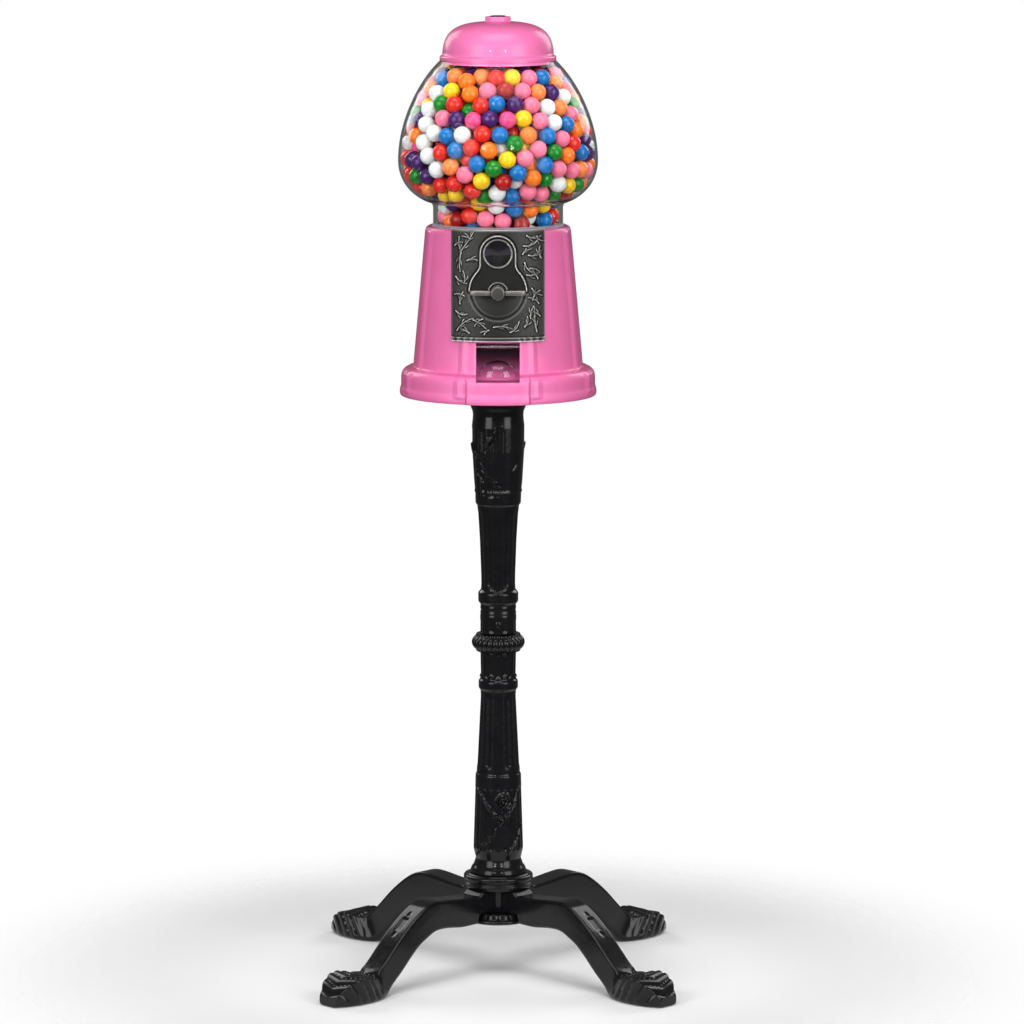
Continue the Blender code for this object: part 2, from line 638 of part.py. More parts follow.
def wheel_shape():
    """The gumball wheel before its pockets are cut; V teeth stand down from its rim."""
    outline = [
        (CENTRE_ROD_R + 0.4, WHEEL_TOP),
        (WHEEL_R, WHEEL_TOP),
        (WHEEL_R, "teeth"),
        (40.5, "teeth"),
        (36.5, CROWN_ROOT_Z),
        (36.5, HOPPER_FLOOR_TOP + 0.4),
        (CENTRE_ROD_R + 0.4, HOPPER_FLOOR_TOP + 0.4),
    ]
    count = 2 * CROWN_TEETH
    bm = bmesh.new()
    rings = []
    for radius, level in outline:
        ring = []
        for k in range(count):
            angle = math.tau * k / count
            z = (CROWN_ROOT_Z, CROWN_TIP_Z)[k % 2] if level == "teeth" else level
            ring.append(bm.verts.new((radius * math.cos(angle), radius * math.sin(angle), z)))
        rings.append(ring)
    for ring, following in zip(rings, rings[1:] + rings[:1]):
        for k in range(count):
            n = (k + 1) % count
            bm.faces.new((ring[k], ring[n], following[n], following[k]))
    return bm


def make_hopper(alloy, plastic, steel, rubber, spindle):
    outline = [
        (55.0, HOPPER_RIM_TOP),
        (64.3, HOPPER_RIM_TOP),
        (64.9, 747.7),
        (64.9, DECK_TOP + GAP),
        (56.0, DECK_TOP + GAP),
        (56.0, 740.0),
        (48.1, 734.0),
        (48.1, HOPPER_FLOOR_BOTTOM),
        (CENTRE_ROD_R + 0.8, HOPPER_FLOOR_BOTTOM),
        (CENTRE_ROD_R + 0.8, HOPPER_FLOOR_TOP),
        (HOPPER_BORE_R, HOPPER_FLOOR_TOP),
        (HOPPER_BORE_R, 733.2),
        (53.8, 739.2),
        (53.8, 747.3),
    ]
    hopper = add("hopper", turned(outline, 32), alloy)
    cut(
        hopper,
        box((-9.5, 9.5), (-56.0, -37.0), (680.0, 697.6)),
        rod(DROP_R, 680.0, 700.0, centre=(DROP_X, DROP_Y)),
    )
    wheel = add("gumball_wheel", wheel_shape(), plastic)
    pockets = [
        rod(
            POCKET_R,
            680.0,
            720.0,
            centre=(
                POCKET_CIRCLE_R * math.cos(math.radians(-60 + 60 * k)),
                POCKET_CIRCLE_R * math.sin(math.radians(-60 + 60 * k)),
            ),
        )
        for k in range(POCKETS)
    ]
    cut(wheel, *pockets)
    wheel.parent = spindle

    cover = [(0.0, 0.0)]
    for k in range(9):
        angle = math.radians(-92 + 8 * k)
        cover.append((45.6 * math.cos(angle), 45.6 * math.sin(angle)))
    guard = add("ball_guard", prism(cover, 713.0, 715.0), steel)
    unite(guard, rod(8.0, 712.6, 718.0))
    cut(guard, rod(CENTRE_ROD_R + GAP, 700.0, 730.0))

    add("globe_gasket", pipe(64.3, 60.2, HOPPER_RIM_TOP + GAP, GLOBE_BOTTOM - GAP, 24), rubber)


def make_globe(glass, candy, steel):
    outer = globe_outline()
    inner = inside_glass()
    inner[0] = (outer[0][0] - GLASS_WALL, GLOBE_TOP)
    inner[-1] = (outer[-1][0] - NECK_WALL, GLOBE_BOTTOM)
    add("globe", turned(outer + inner[::-1], 32), glass)

    fill = [p for p in inside_glass(BALLS_GAP) if p[1] < BALLS_TOP]
    hole, last = CENTRE_ROD_R + 1.5, fill[-1]
    mouth = [(hole, BALLS_TOP), (58.5, BALLS_TOP)]
    rest = [(last[0], 751.0), (52.6, 748.5), (52.6, 740.4), (45.2, 734.6)]
    rest += [(45.2, BALLS_BOTTOM), (hole, BALLS_BOTTOM)]
    add("gumballs", turned([*mouth, *fill[:-1], *rest], 24), candy)
    add("centre_rod", rod(CENTRE_ROD_R, 599.0, 929.5), steel)


def make_chute(plastic, clear, steel, hinge):
    outer = [(CHUTE_BACK_Y, 689.6), (CHUTE_BACK_Y, 634.4), (CHUTE_MOUTH_Y, 601.5)]
    outer += [(CHUTE_MOUTH_Y, CHUTE_ROOF), (-50.5, CHUTE_ROOF), (-50.5, 683.0), (-48.0, 689.6)]
    hollow = [(-11.5, 700.0), (-11.5, 635.4), (-90.0, 595.8)]
    hollow += [(-90.0, CHUTE_ROOF - CHUTE_WALL), (-49.0, CHUTE_ROOF - CHUTE_WALL), (-49.0, 700.0)]

    def trough(side, front, back):
        """The side view pulled out to a width that narrows towards the mouth."""
        bm = prism(side, -1.0, 1.0, "X")
        for vert in bm.verts:
            share = (vert.co.y - CHUTE_MOUTH_Y) / (CHUTE_BACK_Y - CHUTE_MOUTH_Y)
            share = min(max(share, 0.0), 1.0)
            vert.co.x *= front + (back - front) * share
        return bm

    front, back = CHUTE_FRONT_HALF, CHUTE_BACK_HALF
    chute = add("chute", trough(outer, front + CHUTE_WALL, back + CHUTE_WALL), plastic)
    cut(
        chute,
        trough(hollow, front, back),
        box((-12.0, 12.0), (-60.0, -35.0), (679.5, 700.0)),
        rod(DOOR_PIN_R + GAP, -30.0, 30.0, "X", (DOOR_PIN_Y, DOOR_PIN_Z)),
    )

    door = add(
        "chute_door",
        box((-DOOR_HALF_WIDTH, DOOR_HALF_WIDTH), (-73.6, -72.0), (DOOR_BOTTOM, DOOR_PIN_Z)),
        clear,
    )
    knuckle = rod(2.6, -DOOR_HALF_WIDTH, DOOR_HALF_WIDTH, "X", (DOOR_PIN_Y, DOOR_PIN_Z), 20)

    def dome(shrink):
        bm = bmesh.new()
        bmesh.ops.create_uvsphere(bm, u_segments=20, v_segments=10, radius=1.0)
        size = [value - shrink for value in BUBBLE]
        place = Matrix.Translation((0, -72.8, DOOR_BOTTOM)) @ Matrix.Diagonal((*size, 1))
        bmesh.ops.transform(bm, matrix=place, verts=bm.verts)
        return bm

    unite(door, knuckle, dome(0.0))
    cut(
        door,
        box((-30.0, 30.0), (-72.0, -50.0), (590.0, DOOR_PIN_Z - 2.9)),
        box((-30.0, 30.0), (-100.0, -40.0), (580.0, DOOR_BOTTOM)),
        dome(1.5),
        rod(DOOR_PIN_R + GAP, -30.0, 30.0, "X", (DOOR_PIN_Y, DOOR_PIN_Z)),
    )
    door.parent = hinge
    pin = rod(DOOR_PIN_R, -DOOR_PIN_HALF, DOOR_PIN_HALF, "X", (DOOR_PIN_Y, DOOR_PIN_Z))
    add("door_pin", pin, steel)


def make_lid(pink, black, steel, lift, lock_axis):
    dome = bezier((15.2, 946.7), (42.0, 945.0), (54.0, 937.0), (54.6, 914.5), 5)
    outer = [(LOCK_R + 0.4, 951.5), (12.0, 951.5), (12.5, 951.0), (12.5, 947.0)]
    skirt = [(54.6, 914.5), (57.2, 912.8), (57.2, LID_RIM_BOTTOM)]
    under = inset(dome + [(54.6, 914.5)], LID_WALL)
    ring = [(51.0, LID_RIM_BOTTOM), (51.0, 905.0), (49.0, 905.0), (49.0, 911.0)]
    hole = [(LOCK_R + 0.4, 944.0)]
    lid = add("lid", turned([*outer, *dome, *skirt, *ring, *under[::-1], *hole], 32), pink)
    barrel = rod(LOCK_R, 931.0, TOTAL_HEIGHT, steps=28)
    lock = add("lock_barrel", barrel, black)
    key_slot = box((-1.2, 1.2), (-4.5, 4.5), (TOTAL_HEIGHT - 4.0, TOTAL_HEIGHT + 2.0))
    cut(lock, key_slot)
    clip = add("lock_clip", pipe(11.0, LOCK_R + GAP, 941.8, 943.6, 28), steel)
    lid.parent = lift
    lock.parent = lock_axis
    clip.parent = lock_axis


def pivot(name, x, y, z):
    """An empty on a joint's axis, at the world's orientation."""
    empty = bpy.data.objects.new(name, None)
    empty.location = (x * MM, y * MM, z * MM)
    empty.empty_display_size = 0.02
    bpy.context.scene.collection.objects.link(empty)
    return empty


def settle_on_pivots():
    """Keeps each child where it was modelled, now that its parent empty is off the origin."""
    for obj in bpy.data.objects:
        if obj.parent:
            obj.matrix_parent_inverse = Matrix.Translation(obj.parent.location).inverted()


def main():
    clear_scene()
    pink = material("pink powder coat", (1.0, 0.28, 0.62), 0.32)
    iron = material("black cast iron", (0.015, 0.015, 0.016), 0.35)
    pewter = material("antique pewter", (0.16, 0.16, 0.155), 0.45, 0.9)
    steel = material("zinc plated steel", (0.6, 0.6, 0.6), 0.35, 1.0)
    alloy = material("cast aluminium", (0.72, 0.73, 0.74), 0.4, 1.0)
    brass = material("brass", (0.75, 0.58, 0.28), 0.35, 1.0)
    glass = material("clear glass", (0.95, 0.98, 0.97), 0.03, 0.0, 0.25)
    clear = material("clear plastic", (0.96, 0.96, 0.97), 0.08, 0.0, 0.3)
    white = material("white plastic", (0.85, 0.85, 0.83), 0.4)
    rubber = material("grey rubber", (0.55, 0.56, 0.57), 0.6)
    candy = material("gumballs", (0.85, 0.3, 0.2), 0.2)
    black = material("black lock", (0.02, 0.02, 0.02), 0.3)

    axle = pivot("handle_axis", 0, 0, AXIS_Z)
    spindle = pivot("wheel_axis", 0, 0, WHEEL_TOP)
    hinge = pivot("door_axis", 0, DOOR_PIN_Y, DOOR_PIN_Z)
    lift = pivot("lid_axis", 0, 0, LID_RIM_BOTTOM)
    lock_axis = pivot("lock_axis", 0, 0, TOTAL_HEIGHT)
    pawl_axis = pivot("pawl_axis", PAWL_X, 0, PAWL_Z)

    make_stand(iron, steel)
    make_body(pink, steel)
    make_coin_plate(pewter, steel, brass)
    make_handle_train(pewter, steel, brass, axle)
    make_pawl(steel, steel)
    make_hopper(alloy, white, steel, rubber, spindle)
    make_globe(glass, candy, steel)
    make_chute(pink, clear, steel, hinge)
    make_lid(pink, black, steel, lift, lock_axis)
    bpy.data.objects["ratchet_pawl"].parent = pawl_axis
    settle_on_pivots()


main()
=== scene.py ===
"""Looks of the gumball machine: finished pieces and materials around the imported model.

The frame is the model's own: +Z up, the coin plate faces -Y. Lengths are millimetres
unless a name says otherwise, and the mesh helpers turn them into metres.
"""

import math

import bmesh
import bpy
import numpy as np
from mathutils import Matrix, Vector


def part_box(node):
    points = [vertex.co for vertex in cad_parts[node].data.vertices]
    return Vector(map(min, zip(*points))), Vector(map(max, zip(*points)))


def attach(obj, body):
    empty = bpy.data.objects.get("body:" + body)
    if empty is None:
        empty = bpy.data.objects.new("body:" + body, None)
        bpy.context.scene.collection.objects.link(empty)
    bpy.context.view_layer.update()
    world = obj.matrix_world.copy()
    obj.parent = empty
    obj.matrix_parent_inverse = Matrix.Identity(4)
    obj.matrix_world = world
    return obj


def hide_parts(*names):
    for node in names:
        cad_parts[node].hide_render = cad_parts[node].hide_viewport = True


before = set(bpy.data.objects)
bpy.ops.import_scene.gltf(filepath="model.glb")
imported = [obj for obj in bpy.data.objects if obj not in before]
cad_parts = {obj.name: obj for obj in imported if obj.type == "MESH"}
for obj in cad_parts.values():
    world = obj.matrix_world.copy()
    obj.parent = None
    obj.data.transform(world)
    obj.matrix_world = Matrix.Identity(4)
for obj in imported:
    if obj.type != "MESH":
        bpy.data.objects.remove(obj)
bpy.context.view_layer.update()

MM = 0.001
SHARP = 38.0  # degrees past which an edge is drawn sharp
BALL_RADIUS = 8.5
GLASS_WALL, NECK_WALL, NECK_R = 1.8, 3.0, 63.9

# The cone of the body: radius at two heights
BODY_SHOULDER_R, BODY_SHOULDER_Z = 71.8, 742.5
BODY_FOOT_R, BODY_FOOT_Z = 83.8, 608.5
BODY_WALL = 3.0
RIBS, RIB_HEIGHT = 8, 1.4
LOBE_HALF_WIDTH, LOBE_DEPTH = 30.5, 3.0
DECK_RECESS_R, DECK_HOLE_R, DECK_Z = 65.3, 56.5, 741.5

# Openings in the body wall: (low, high) along x, y and z
OPENINGS = {
    "mechanism": ((-33.2, 33.2), (-95.0, -50.0), (650.5, 739.5)),
    "door": ((-21.2, 21.2), (-110.0, -60.0), (602.0, 639.0)),
    "tunnel": ((-22.6, 22.6), (-75.6, -60.0), (600.5, 640.4)),
}

# The coin mechanism
WINDOW_R = 12.8
SHAFT_HOLE_R = 3.35
RING_R, DISC_R = 18.3, 29.0
PLATE_HALF, PLATE_PROUD, PLATE_INNER, RAISED_FACE = 45.5, 5.0, 1.75, 82.3

BORE_R = 5.0  # the hole for the rod through the stand
QUARTERS = (45, 135, 225, 315)
WHITE = (1.0, 1.0, 1.0, 1.0)


def span(node):
    """Lowest and highest corner of a CAD node."""
    low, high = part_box(node)
    return low / MM, high / MM


AXIS_Z = (span("handle")[0].z + span("handle")[1].z) / 2
WINDOW_Z = AXIS_Z + 37.0


# Outlines and surfaces


def ramp(value):
    """0 below 0, 1 above 1, and smooth between."""
    t = np.clip(value, 0.0, 1.0)
    return t * t * (3.0 - 2.0 * t)


def bezier(start, first, second, end, steps):
    """Points along a cubic curve, without its last point."""
    t = np.arange(steps)[:, None] / steps
    corners = [np.array(p, float) for p in (start, first, second, end)]
    weights = ((1 - t) ** 3, 3 * t * (1 - t) ** 2, 3 * t * t * (1 - t), t**3)
    return [tuple(p) for p in sum(w * c for w, c in zip(weights, corners))]


def inset(points, distance):
    """An open outline that runs downwards, moved inwards."""
    moved = []
    for k, point in enumerate(points):
        along = Vector(points[min(k + 1, len(points) - 1)]) - Vector(points[max(k - 1, 0)])
        along.normalize()
        moved.append((point[0] + along[1] * distance, point[1] - along[0] * distance))
    return moved


def rounded(points, radius, arc=3):
    """An open outline with each inner corner cut back by radius and bridged by a curve."""
    made = [points[0]]
    for before, corner, after in zip(points, points[1:], points[2:]):
        corner = Vector(corner)
        back, ahead = Vector(before) - corner, Vector(after) - corner
        if back.length < 1e-6 or ahead.length < 1e-6 or back.angle(ahead) > math.radians(172):
            made.append(tuple(corner))
            continue
        reach = min(radius, 0.45 * back.length, 0.45 * ahead.length)
        start, end = corner + back.normalized() * reach, corner + ahead.normalized() * reach
        for k in range(arc + 1):
            t = k / arc
            made.append(tuple(start * (1 - t) ** 2 + corner * 2 * t * (1 - t) + end * t * t))
    return [*made, points[-1]]


def dense(points, step):
    """An open outline with no run between its points longer than step."""
    made = []
    for first, second in zip(points, points[1:]):
        first, second = Vector(first), Vector(second)
        count = max(1, math.ceil((second - first).length / step))
        made += [tuple(first.lerp(second, k / count)) for k in range(count)]
    return [*made, points[-1]]


def curl(start, heading, length, bend, count=10):
    """Points along a path that starts with a heading in degrees and turns by bend."""
    points = [start]
    for k in range(count):
        angle = math.radians(heading + bend * (k + 0.5) / count)
        x, z = points[-1]
        step = length / count
        points.append((x + step * math.cos(angle), z + step * math.sin(angle)))
    return points


def nearest(x, z, points):
    """Distance to a line through points, and how far along it, 0 to 1, that is."""
    best = np.full(x.shape, 1e9)
    along = np.zeros(x.shape)
    runs = list(zip(points, points[1:]))
    for number, ((x0, z0), (x1, z1)) in enumerate(runs):
        dx, dz = x1 - x0, z1 - z0
        t = np.clip(((x - x0) * dx + (z - z0) * dz) / (dx * dx + dz * dz), 0, 1)
        away = np.hypot(x - x0 - t * dx, z - z0 - t * dz)
        along = np.where(away < best, (number + t) / len(runs), along)
        best = np.minimum(best, away)
    return best, along


def ridge(x, z, points, half, height, taper):
    """A raised line with a round back, thinner towards its end."""
    away, along = nearest(x, z, points)
    share = 1 - taper * along
    return height * share * np.sqrt(np.clip(1 - (away / (half * share)) ** 2, 0, 1))


def ribbon(x, z, points, half, height):
    """A raised flat band."""
    return height * ramp((half - nearest(x, z, points)[0]) / 0.7)


def bell(distance, width):
    """1 at no distance, and fading out either way."""
    return np.exp(-((distance / width) ** 2))


def grid_faces(rows, columns, loop_rows=False, loop_columns=True):
    faces = []
    for r in range(rows if loop_rows else rows - 1):
        s = (r + 1) % rows
        for c in range(columns if loop_columns else columns - 1):
            d = (c + 1) % columns
            faces.append((r * columns + c, r * columns + d, s * columns + d, s * columns + c))
    return faces


def link(name, data):
    """A new object in the scene."""
    obj = bpy.data.objects.new(name, data)
    bpy.context.scene.collection.objects.link(obj)
    return obj


def prism_faces(count):
    """Two ends and the sides between them, over two rings of count points."""
    sides = [(k, (k + 1) % count, (k + 1) % count + count, k + count) for k in range(count)]
    return [tuple(range(count)), tuple(range(2 * count - 1, count - 1, -1)), *sides]


def emptied(bm):
    """Points and faces of a bmesh, which is then freed."""
    points = np.array([v.co for v in bm.verts])
    faces = [[v.index for v in face.verts] for face in bm.faces]
    bm.free()
    return points, faces


def solid(name, points, faces, sharp=SHARP):
    """A closed object from points in millimetres, its faces outwards, edges sharp past an angle."""
    mesh = bpy.data.meshes.new(name)
    mesh.from_pydata((np.asarray(points) * MM).tolist(), [], faces)
    bm = bmesh.new()
    bm.from_mesh(mesh)
    bmesh.ops.remove_doubles(bm, verts=bm.verts, dist=1e-7)
    bmesh.ops.recalc_face_normals(bm, faces=bm.faces)
    if bm.calc_volume(signed=True) < 0:
        bmesh.ops.reverse_faces(bm, faces=bm.faces)
    bm.to_mesh(mesh)
    bm.free()
    mesh.shade_smooth()
    mesh.set_sharp_from_angle(angle=math.radians(sharp))
    return link(name, mesh)


def lathe(name, outer, inner=(), columns=96, relief=None, sharp=SHARP):
    """A solid turned about Z. Outer runs downwards and takes the relief; inner closes it.

    Angles are measured from the front, -Y, and grow towards +X.
    """
    outline = np.array([*outer, *inner])
    angle = np.tile(math.tau * np.arange(columns) / columns, (len(outline), 1))
    radius = np.repeat(outline[:, :1], columns, axis=1)
    height = np.repeat(outline[:, 1:], columns, axis=1)
    if relief:
        n = len(outer)
        from_front = (angle[:n] + math.pi) % math.tau - math.pi
        radius[:n] += relief(from_front, height[:n], radius[:n])
    points = np.stack((radius * np.sin(angle), -radius * np.cos(angle), height), axis=-1)
    faces = grid_faces(len(outline), columns, loop_rows=True)
    return solid(name, points.reshape(-1, 3), faces, sharp)


def cylinder(name, radius, top, under, columns):
    """A plain upright cylinder."""
    outline = [(0.0, top), (radius, top), (radius, under), (0.0, under)]
    return lathe(name, outline, columns=columns)


def turned_along_y(name, outline, centre, columns=64):
    """A solid turned about an axis along Y; outline points are (radius, y)."""
    outline = np.array(outline)
    angle = np.tile(math.tau * np.arange(columns) / columns, (len(outline), 1))
    radius, y = outline[:, :1], np.repeat(outline[:, 1:], columns, axis=1)
    points = np.stack(
        (centre[0] + radius * np.sin(angle), y, centre[1] + radius * np.cos(angle)), axis=-1
    )
    return solid(name, points.reshape(-1, 3), grid_faces(len(outline), columns, loop_rows=True))


def drum(name, radius, low, high, centre, columns=64):
    """A plain cylinder along Y, for cutting."""
    outline = [(0, low), (radius, low), (radius, high), (0, high)]
    return turned_along_y(name, outline, centre, columns)


def block(name, x, y, z):
    """A block between (low, high) pairs."""
    corners = [(a, b, c) for a in x for b in y for c in z]
    sides = [(0, 1, 3, 2), (4, 6, 7, 5), (0, 4, 5, 1), (2, 3, 7, 6), (0, 2, 6, 4), (1, 5, 7, 3)]
    return solid(name, corners, sides)


def carve(obj, operation, *others):
    """Unites others with obj, or cuts them out of it, and removes them."""
    for other in others:
        step = obj.modifiers.new(other.name, "BOOLEAN")
        step.operation = operation
        step.solver = "EXACT"
        step.object = other
    graph = bpy.context.evaluated_depsgraph_get()
    mesh = bpy.data.meshes.new_from_object(obj.evaluated_get(graph))
    obj.modifiers.clear()
    obj.data = mesh
    for other in others:
        bpy.data.objects.remove(other)
    mesh.shade_smooth()
    mesh.set_sharp_from_angle(angle=math.radians(SHARP))


def show(obj, finish, body, slot, *nodes):
    """Gives a piece its material and body, and hides the CAD nodes it stands for. The slot is not
    used.
    """
    obj.data.materials.clear()
    obj.data.materials.append(finish)
    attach(obj, body)
    if nodes:
        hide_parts(*nodes)


def show_iron(obj, iron, node):
    show(obj, iron, "machine", "black_iron", node)


# Materials


def plain(name, colour, roughness, metallic=0.0, **sockets):
    made = bpy.data.materials.new(name)
    made.use_nodes = True
    values = {"Base Color": (*colour, 1.0), "Roughness": roughness, "Metallic": metallic}
    values.update({key.replace("_", " "): value for key, value in sockets.items()})
    for socket, value in values.items():
        made.node_tree.nodes["Principled BSDF"].inputs[socket].default_value = value
    return made


def dimmed(colour, share):
    return tuple(share * value for value in colour)


def noise(made, size, detail=3.0):
    """The output of a noise whose features are about size millimetres across."""
    tree = made.node_tree
    place = tree.nodes.new("ShaderNodeTexCoord")
    texture = tree.nodes.new("ShaderNodeTexNoise")
    texture.inputs["Scale"].default_value = 1.0 / (size * MM)
    texture.inputs["Detail"].default_value = detail
    tree.links.new(place.outputs["Object"], texture.inputs["Vector"])
    return texture.outputs["Fac"]


def graded(made, factor, socket, stops):
    """Drives a socket from a factor through colour stops (position, colour or value)."""
    tree = made.node_tree
    shades = tree.nodes.new("ShaderNodeValToRGB")
    ramp_stops = shades.color_ramp.elements
    while len(ramp_stops) < len(stops):
        ramp_stops.new(0.5)
    for stop, (position, value) in zip(ramp_stops, stops):
        stop.position = position
        stop.color = (*value, 1.0) if isinstance(value, tuple) else (value, value, value, 1.0)
    tree.links.new(factor, shades.inputs["Fac"])
    tree.links.new(shades.outputs["Color"], tree.nodes["Principled BSDF"].inputs[socket])


def bumped(made, *layers):
    """Bump from (factor, depth in millimetres) layers, one over the other."""
    tree = made.node_tree
    normal = None
    for factor, depth in layers:
        bump = tree.nodes.new("ShaderNodeBump")
        bump.inputs["Distance"].default_value = depth * MM
        tree.links.new(factor, bump.inputs["Height"])
        if normal:
            tree.links.new(normal, bump.inputs["Normal"])
        normal = bump.outputs["Normal"]
    tree.links.new(normal, tree.nodes["Principled BSDF"].inputs["Normal"])
    return made


def mix_shaders(tree, factor, first, second, output):
    """Shows the first node where the factor is 0 and the second where it is 1."""
    mixed = tree.nodes.new("ShaderNodeMixShader")
    for source, socket in zip((factor, first.outputs[0], second.outputs[0]), mixed.inputs):
        tree.links.new(source, socket)
    tree.links.new(mixed.outputs[0], output.inputs["Surface"])


def see_through(made, factor):
    """Clears a material away where the factor is 1."""
    tree = made.node_tree
    passing = tree.nodes.new("ShaderNodeBsdfTransparent")
    shader, output = tree.nodes["Principled BSDF"], tree.nodes["Material Output"]
    mix_shaders(tree, factor, shader, passing, output)


def paint_edge_shade(made, blend, dark):
    """Paints shade into the base colour: multiplies it towards dark where the surface turns away
    from the view.
    """
    tree = made.node_tree
    colour = tree.nodes["Principled BSDF"].inputs["Base Color"]
    before = colour.links[0].from_socket
    facing = tree.nodes.new("ShaderNodeLayerWeight")
    facing.inputs["Blend"].default_value = blend
    mixed = tree.nodes.new("ShaderNodeMix")
    mixed.data_type = "RGBA"
    mixed.blend_type = "MULTIPLY"
    factor, first, second = (mixed.inputs[k] for k in (0, 6, 7))
    second.default_value = (*dark, 1.0)
    tree.links.new(facing.outputs["Facing"], factor)
    tree.links.new(before, first)
    tree.links.new(mixed.outputs[2], colour)


def powder_coat():
    made = plain(
        "pink powder coat", (0.88, 0.2, 0.5), 0.35, Coat_Weight=0.12, Specular_IOR_Level=0.3
    )
    stops = [(0.3, (0.94, 0.205, 0.480)), (0.7, (0.97, 0.225, 0.515))]
    graded(made, noise(made, 22.0), "Base Color", stops)
    # painted shade: the pink darkens where the surface turns away towards its outline
    paint_edge_shade(made, 0.25, (0.45, 0.12, 0.25))
    graded(made, noise(made, 6.0), "Roughness", [(0.3, 0.27), (0.7, 0.36)])
    return bumped(made, (noise(made, 1.6, 2.0), 0.02))


def enamel_iron():
    made = plain(
        "black enamel", (0.012, 0.012, 0.013), 0.3, Coat_Weight=0.08, Specular_IOR_Level=0.25
    )
    stops = [(0.3, (0.005, 0.005, 0.006)), (0.7, (0.008, 0.008, 0.009))]
    graded(made, noise(made, 14.0), "Base Color", stops)
    graded(made, noise(made, 4.0), "Roughness", [(0.3, 0.14), (0.7, 0.22)])
    return bumped(made, (noise(made, 7.0, 2.0), 0.08), (noise(made, 1.2, 3.0), 0.015))


def antique_pewter():
    made = plain("antique pewter", (0.1, 0.1, 0.095), 0.45, 0.85)
    edge = made.node_tree.nodes.new("ShaderNodeNewGeometry").outputs["Pointiness"]
    stops = [
        (0.46, (0.010, 0.010, 0.009)),
        (0.5, (0.032, 0.032, 0.030)),
        (0.53, (0.25, 0.247, 0.235)),
        (0.57, (0.80, 0.79, 0.75)),
    ]
    graded(made, edge, "Base Color", stops)
    graded(made, noise(made, 1.5, 4.0), "Roughness", [(0.3, 0.36), (0.7, 0.56)])
    return bumped(made, (noise(made, 5.0, 2.0), 0.08), (noise(made, 0.7, 4.0), 0.06))


def metal(name, colour, low, high):
    """Bare or plated metal, with roughness between low and high and fine marks."""
    made = plain(name, colour, low, 1.0)
    darker = dimmed(colour, 0.8)
    graded(made, noise(made, 9.0), "Base Color", [(0.3, darker), (0.65, colour)])
    marks = noise(made, 1.0, 4.0)
    graded(made, marks, "Roughness", [(0.3, low), (0.7, high)])
    return bumped(made, (marks, 0.01))


def moulded(name, colour, low, high):
    made = plain(name, colour, low)
    darker = dimmed(colour, 0.88)
    graded(made, noise(made, 12.0), "Base Color", [(0.35, darker), (0.65, colour)])
    graded(made, noise(made, 2.5), "Roughness", [(0.3, low), (0.7, high)])
    return bumped(made, (noise(made, 0.8, 2.0), 0.01))


def clear(name, colour, ior, gloss, roughness, haze):
    """Glass or clear plastic that lets lamps through."""
    made = plain(
        name, colour, roughness, IOR=ior, Transmission_Weight=1.0, Specular_IOR_Level=gloss
    )
    graded(made, noise(made, 30.0, 1.0), "Roughness", [(0.35, roughness), (0.7, haze)])
    path = made.node_tree.nodes.new("ShaderNodeLightPath")
    see_through(made, path.outputs["Is Shadow Ray"])
    return made


def candy(name, colour):
    made = plain(name, colour, 0.15, Coat_Weight=0.3, Specular_IOR_Level=0.3)
    darker = dimmed(colour, 0.86)
    graded(made, noise(made, 7.0, 2.0), "Base Color", [(0.3, darker), (0.6, colour)])
    graded(made, noise(made, 3.0), "Roughness", [(0.3, 0.12), (0.7, 0.22)])
    return bumped(made, (noise(made, 4.0, 2.0), 0.05))


def passage_painted_shade():
    """The passage behind the flap, with painted shade: pink at its foot, darkening to nearly black
    under its roof.
    """
    low, high = span("chute_door")
    made = plain("passage pink with painted shade", (0.45, 0.08, 0.22), 0.5)
    tree = made.node_tree
    place = tree.nodes.new("ShaderNodeTexCoord")
    parts = tree.nodes.new("ShaderNodeSeparateXYZ")
    share = tree.nodes.new("ShaderNodeMapRange")
    share.inputs["From Min"].default_value = low.z * MM
    share.inputs["From Max"].default_value = high.z * MM
    tree.links.new(place.outputs["Object"], parts.inputs["Vector"])
    tree.links.new(parts.outputs["Z"], share.inputs["Value"])
    # painted shade: darker with height, from pink at the foot to nearly black under the roof
    stops = [(0.0, (0.45, 0.08, 0.22)), (0.45, (0.16, 0.02, 0.075)), (1.0, (0.03, 0.003, 0.012))]
    graded(made, share.outputs["Result"], "Base Color", stops)
    return bumped(made, (noise(made, 1.6, 2.0), 0.02))


# Head


def make_lid(pink):
    low, high = span("lid")
    knob_top, rim_r = high.z, high.x
    rim_low = low.z + 4.1
    dome = bezier((15.2, knob_top - 4.8), (42.0, 945.0), (54.0, 937.0), (54.6, 914.6), 28)
    knob = [(8.1, knob_top), (12.5, knob_top), (12.5, knob_top - 4.6), (14.4, knob_top - 4.8)]
    step = [(54.6, 914.6), (55.0, 914.0), (56.6, 913.4), (rim_r, 912.2), (rim_r, rim_low)]
    outer = [*rounded(knob, 0.6), *dome, *rounded(step, 0.5)]
    under = inset([*dome, (54.6, 914.6)], 2.5)
    inner = [(51.0, rim_low), (51.0, low.z), (49.0, low.z), (49.0, 911.0), *under[::-1]]
    lid = lathe("lid_shell", outer, [*inner, (8.1, 944.0)], 128)
    show(lid, pink, "lid", "pink_coat", "lid")


def make_lock(black):
    low, high = span("lock_barrel")
    r = high.x
    face = [(0.0, high.z - 0.7), (5.0, high.z - 0.7), (5.3, high.z), (r - 0.5, high.z)]
    outer = [*face, (r, high.z - 0.5), (r, low.z), (0.0, low.z)]
    lock = lathe("lock_face", outer, columns=64)
    slot = block("slot", (-0.8, 0.8), (-3.4, 3.4), (high.z - 4.0, high.z + 1.0))
    carve(lock, "DIFFERENCE", slot)
    show(lock, black, "lock", "black_lock", "lock_barrel")


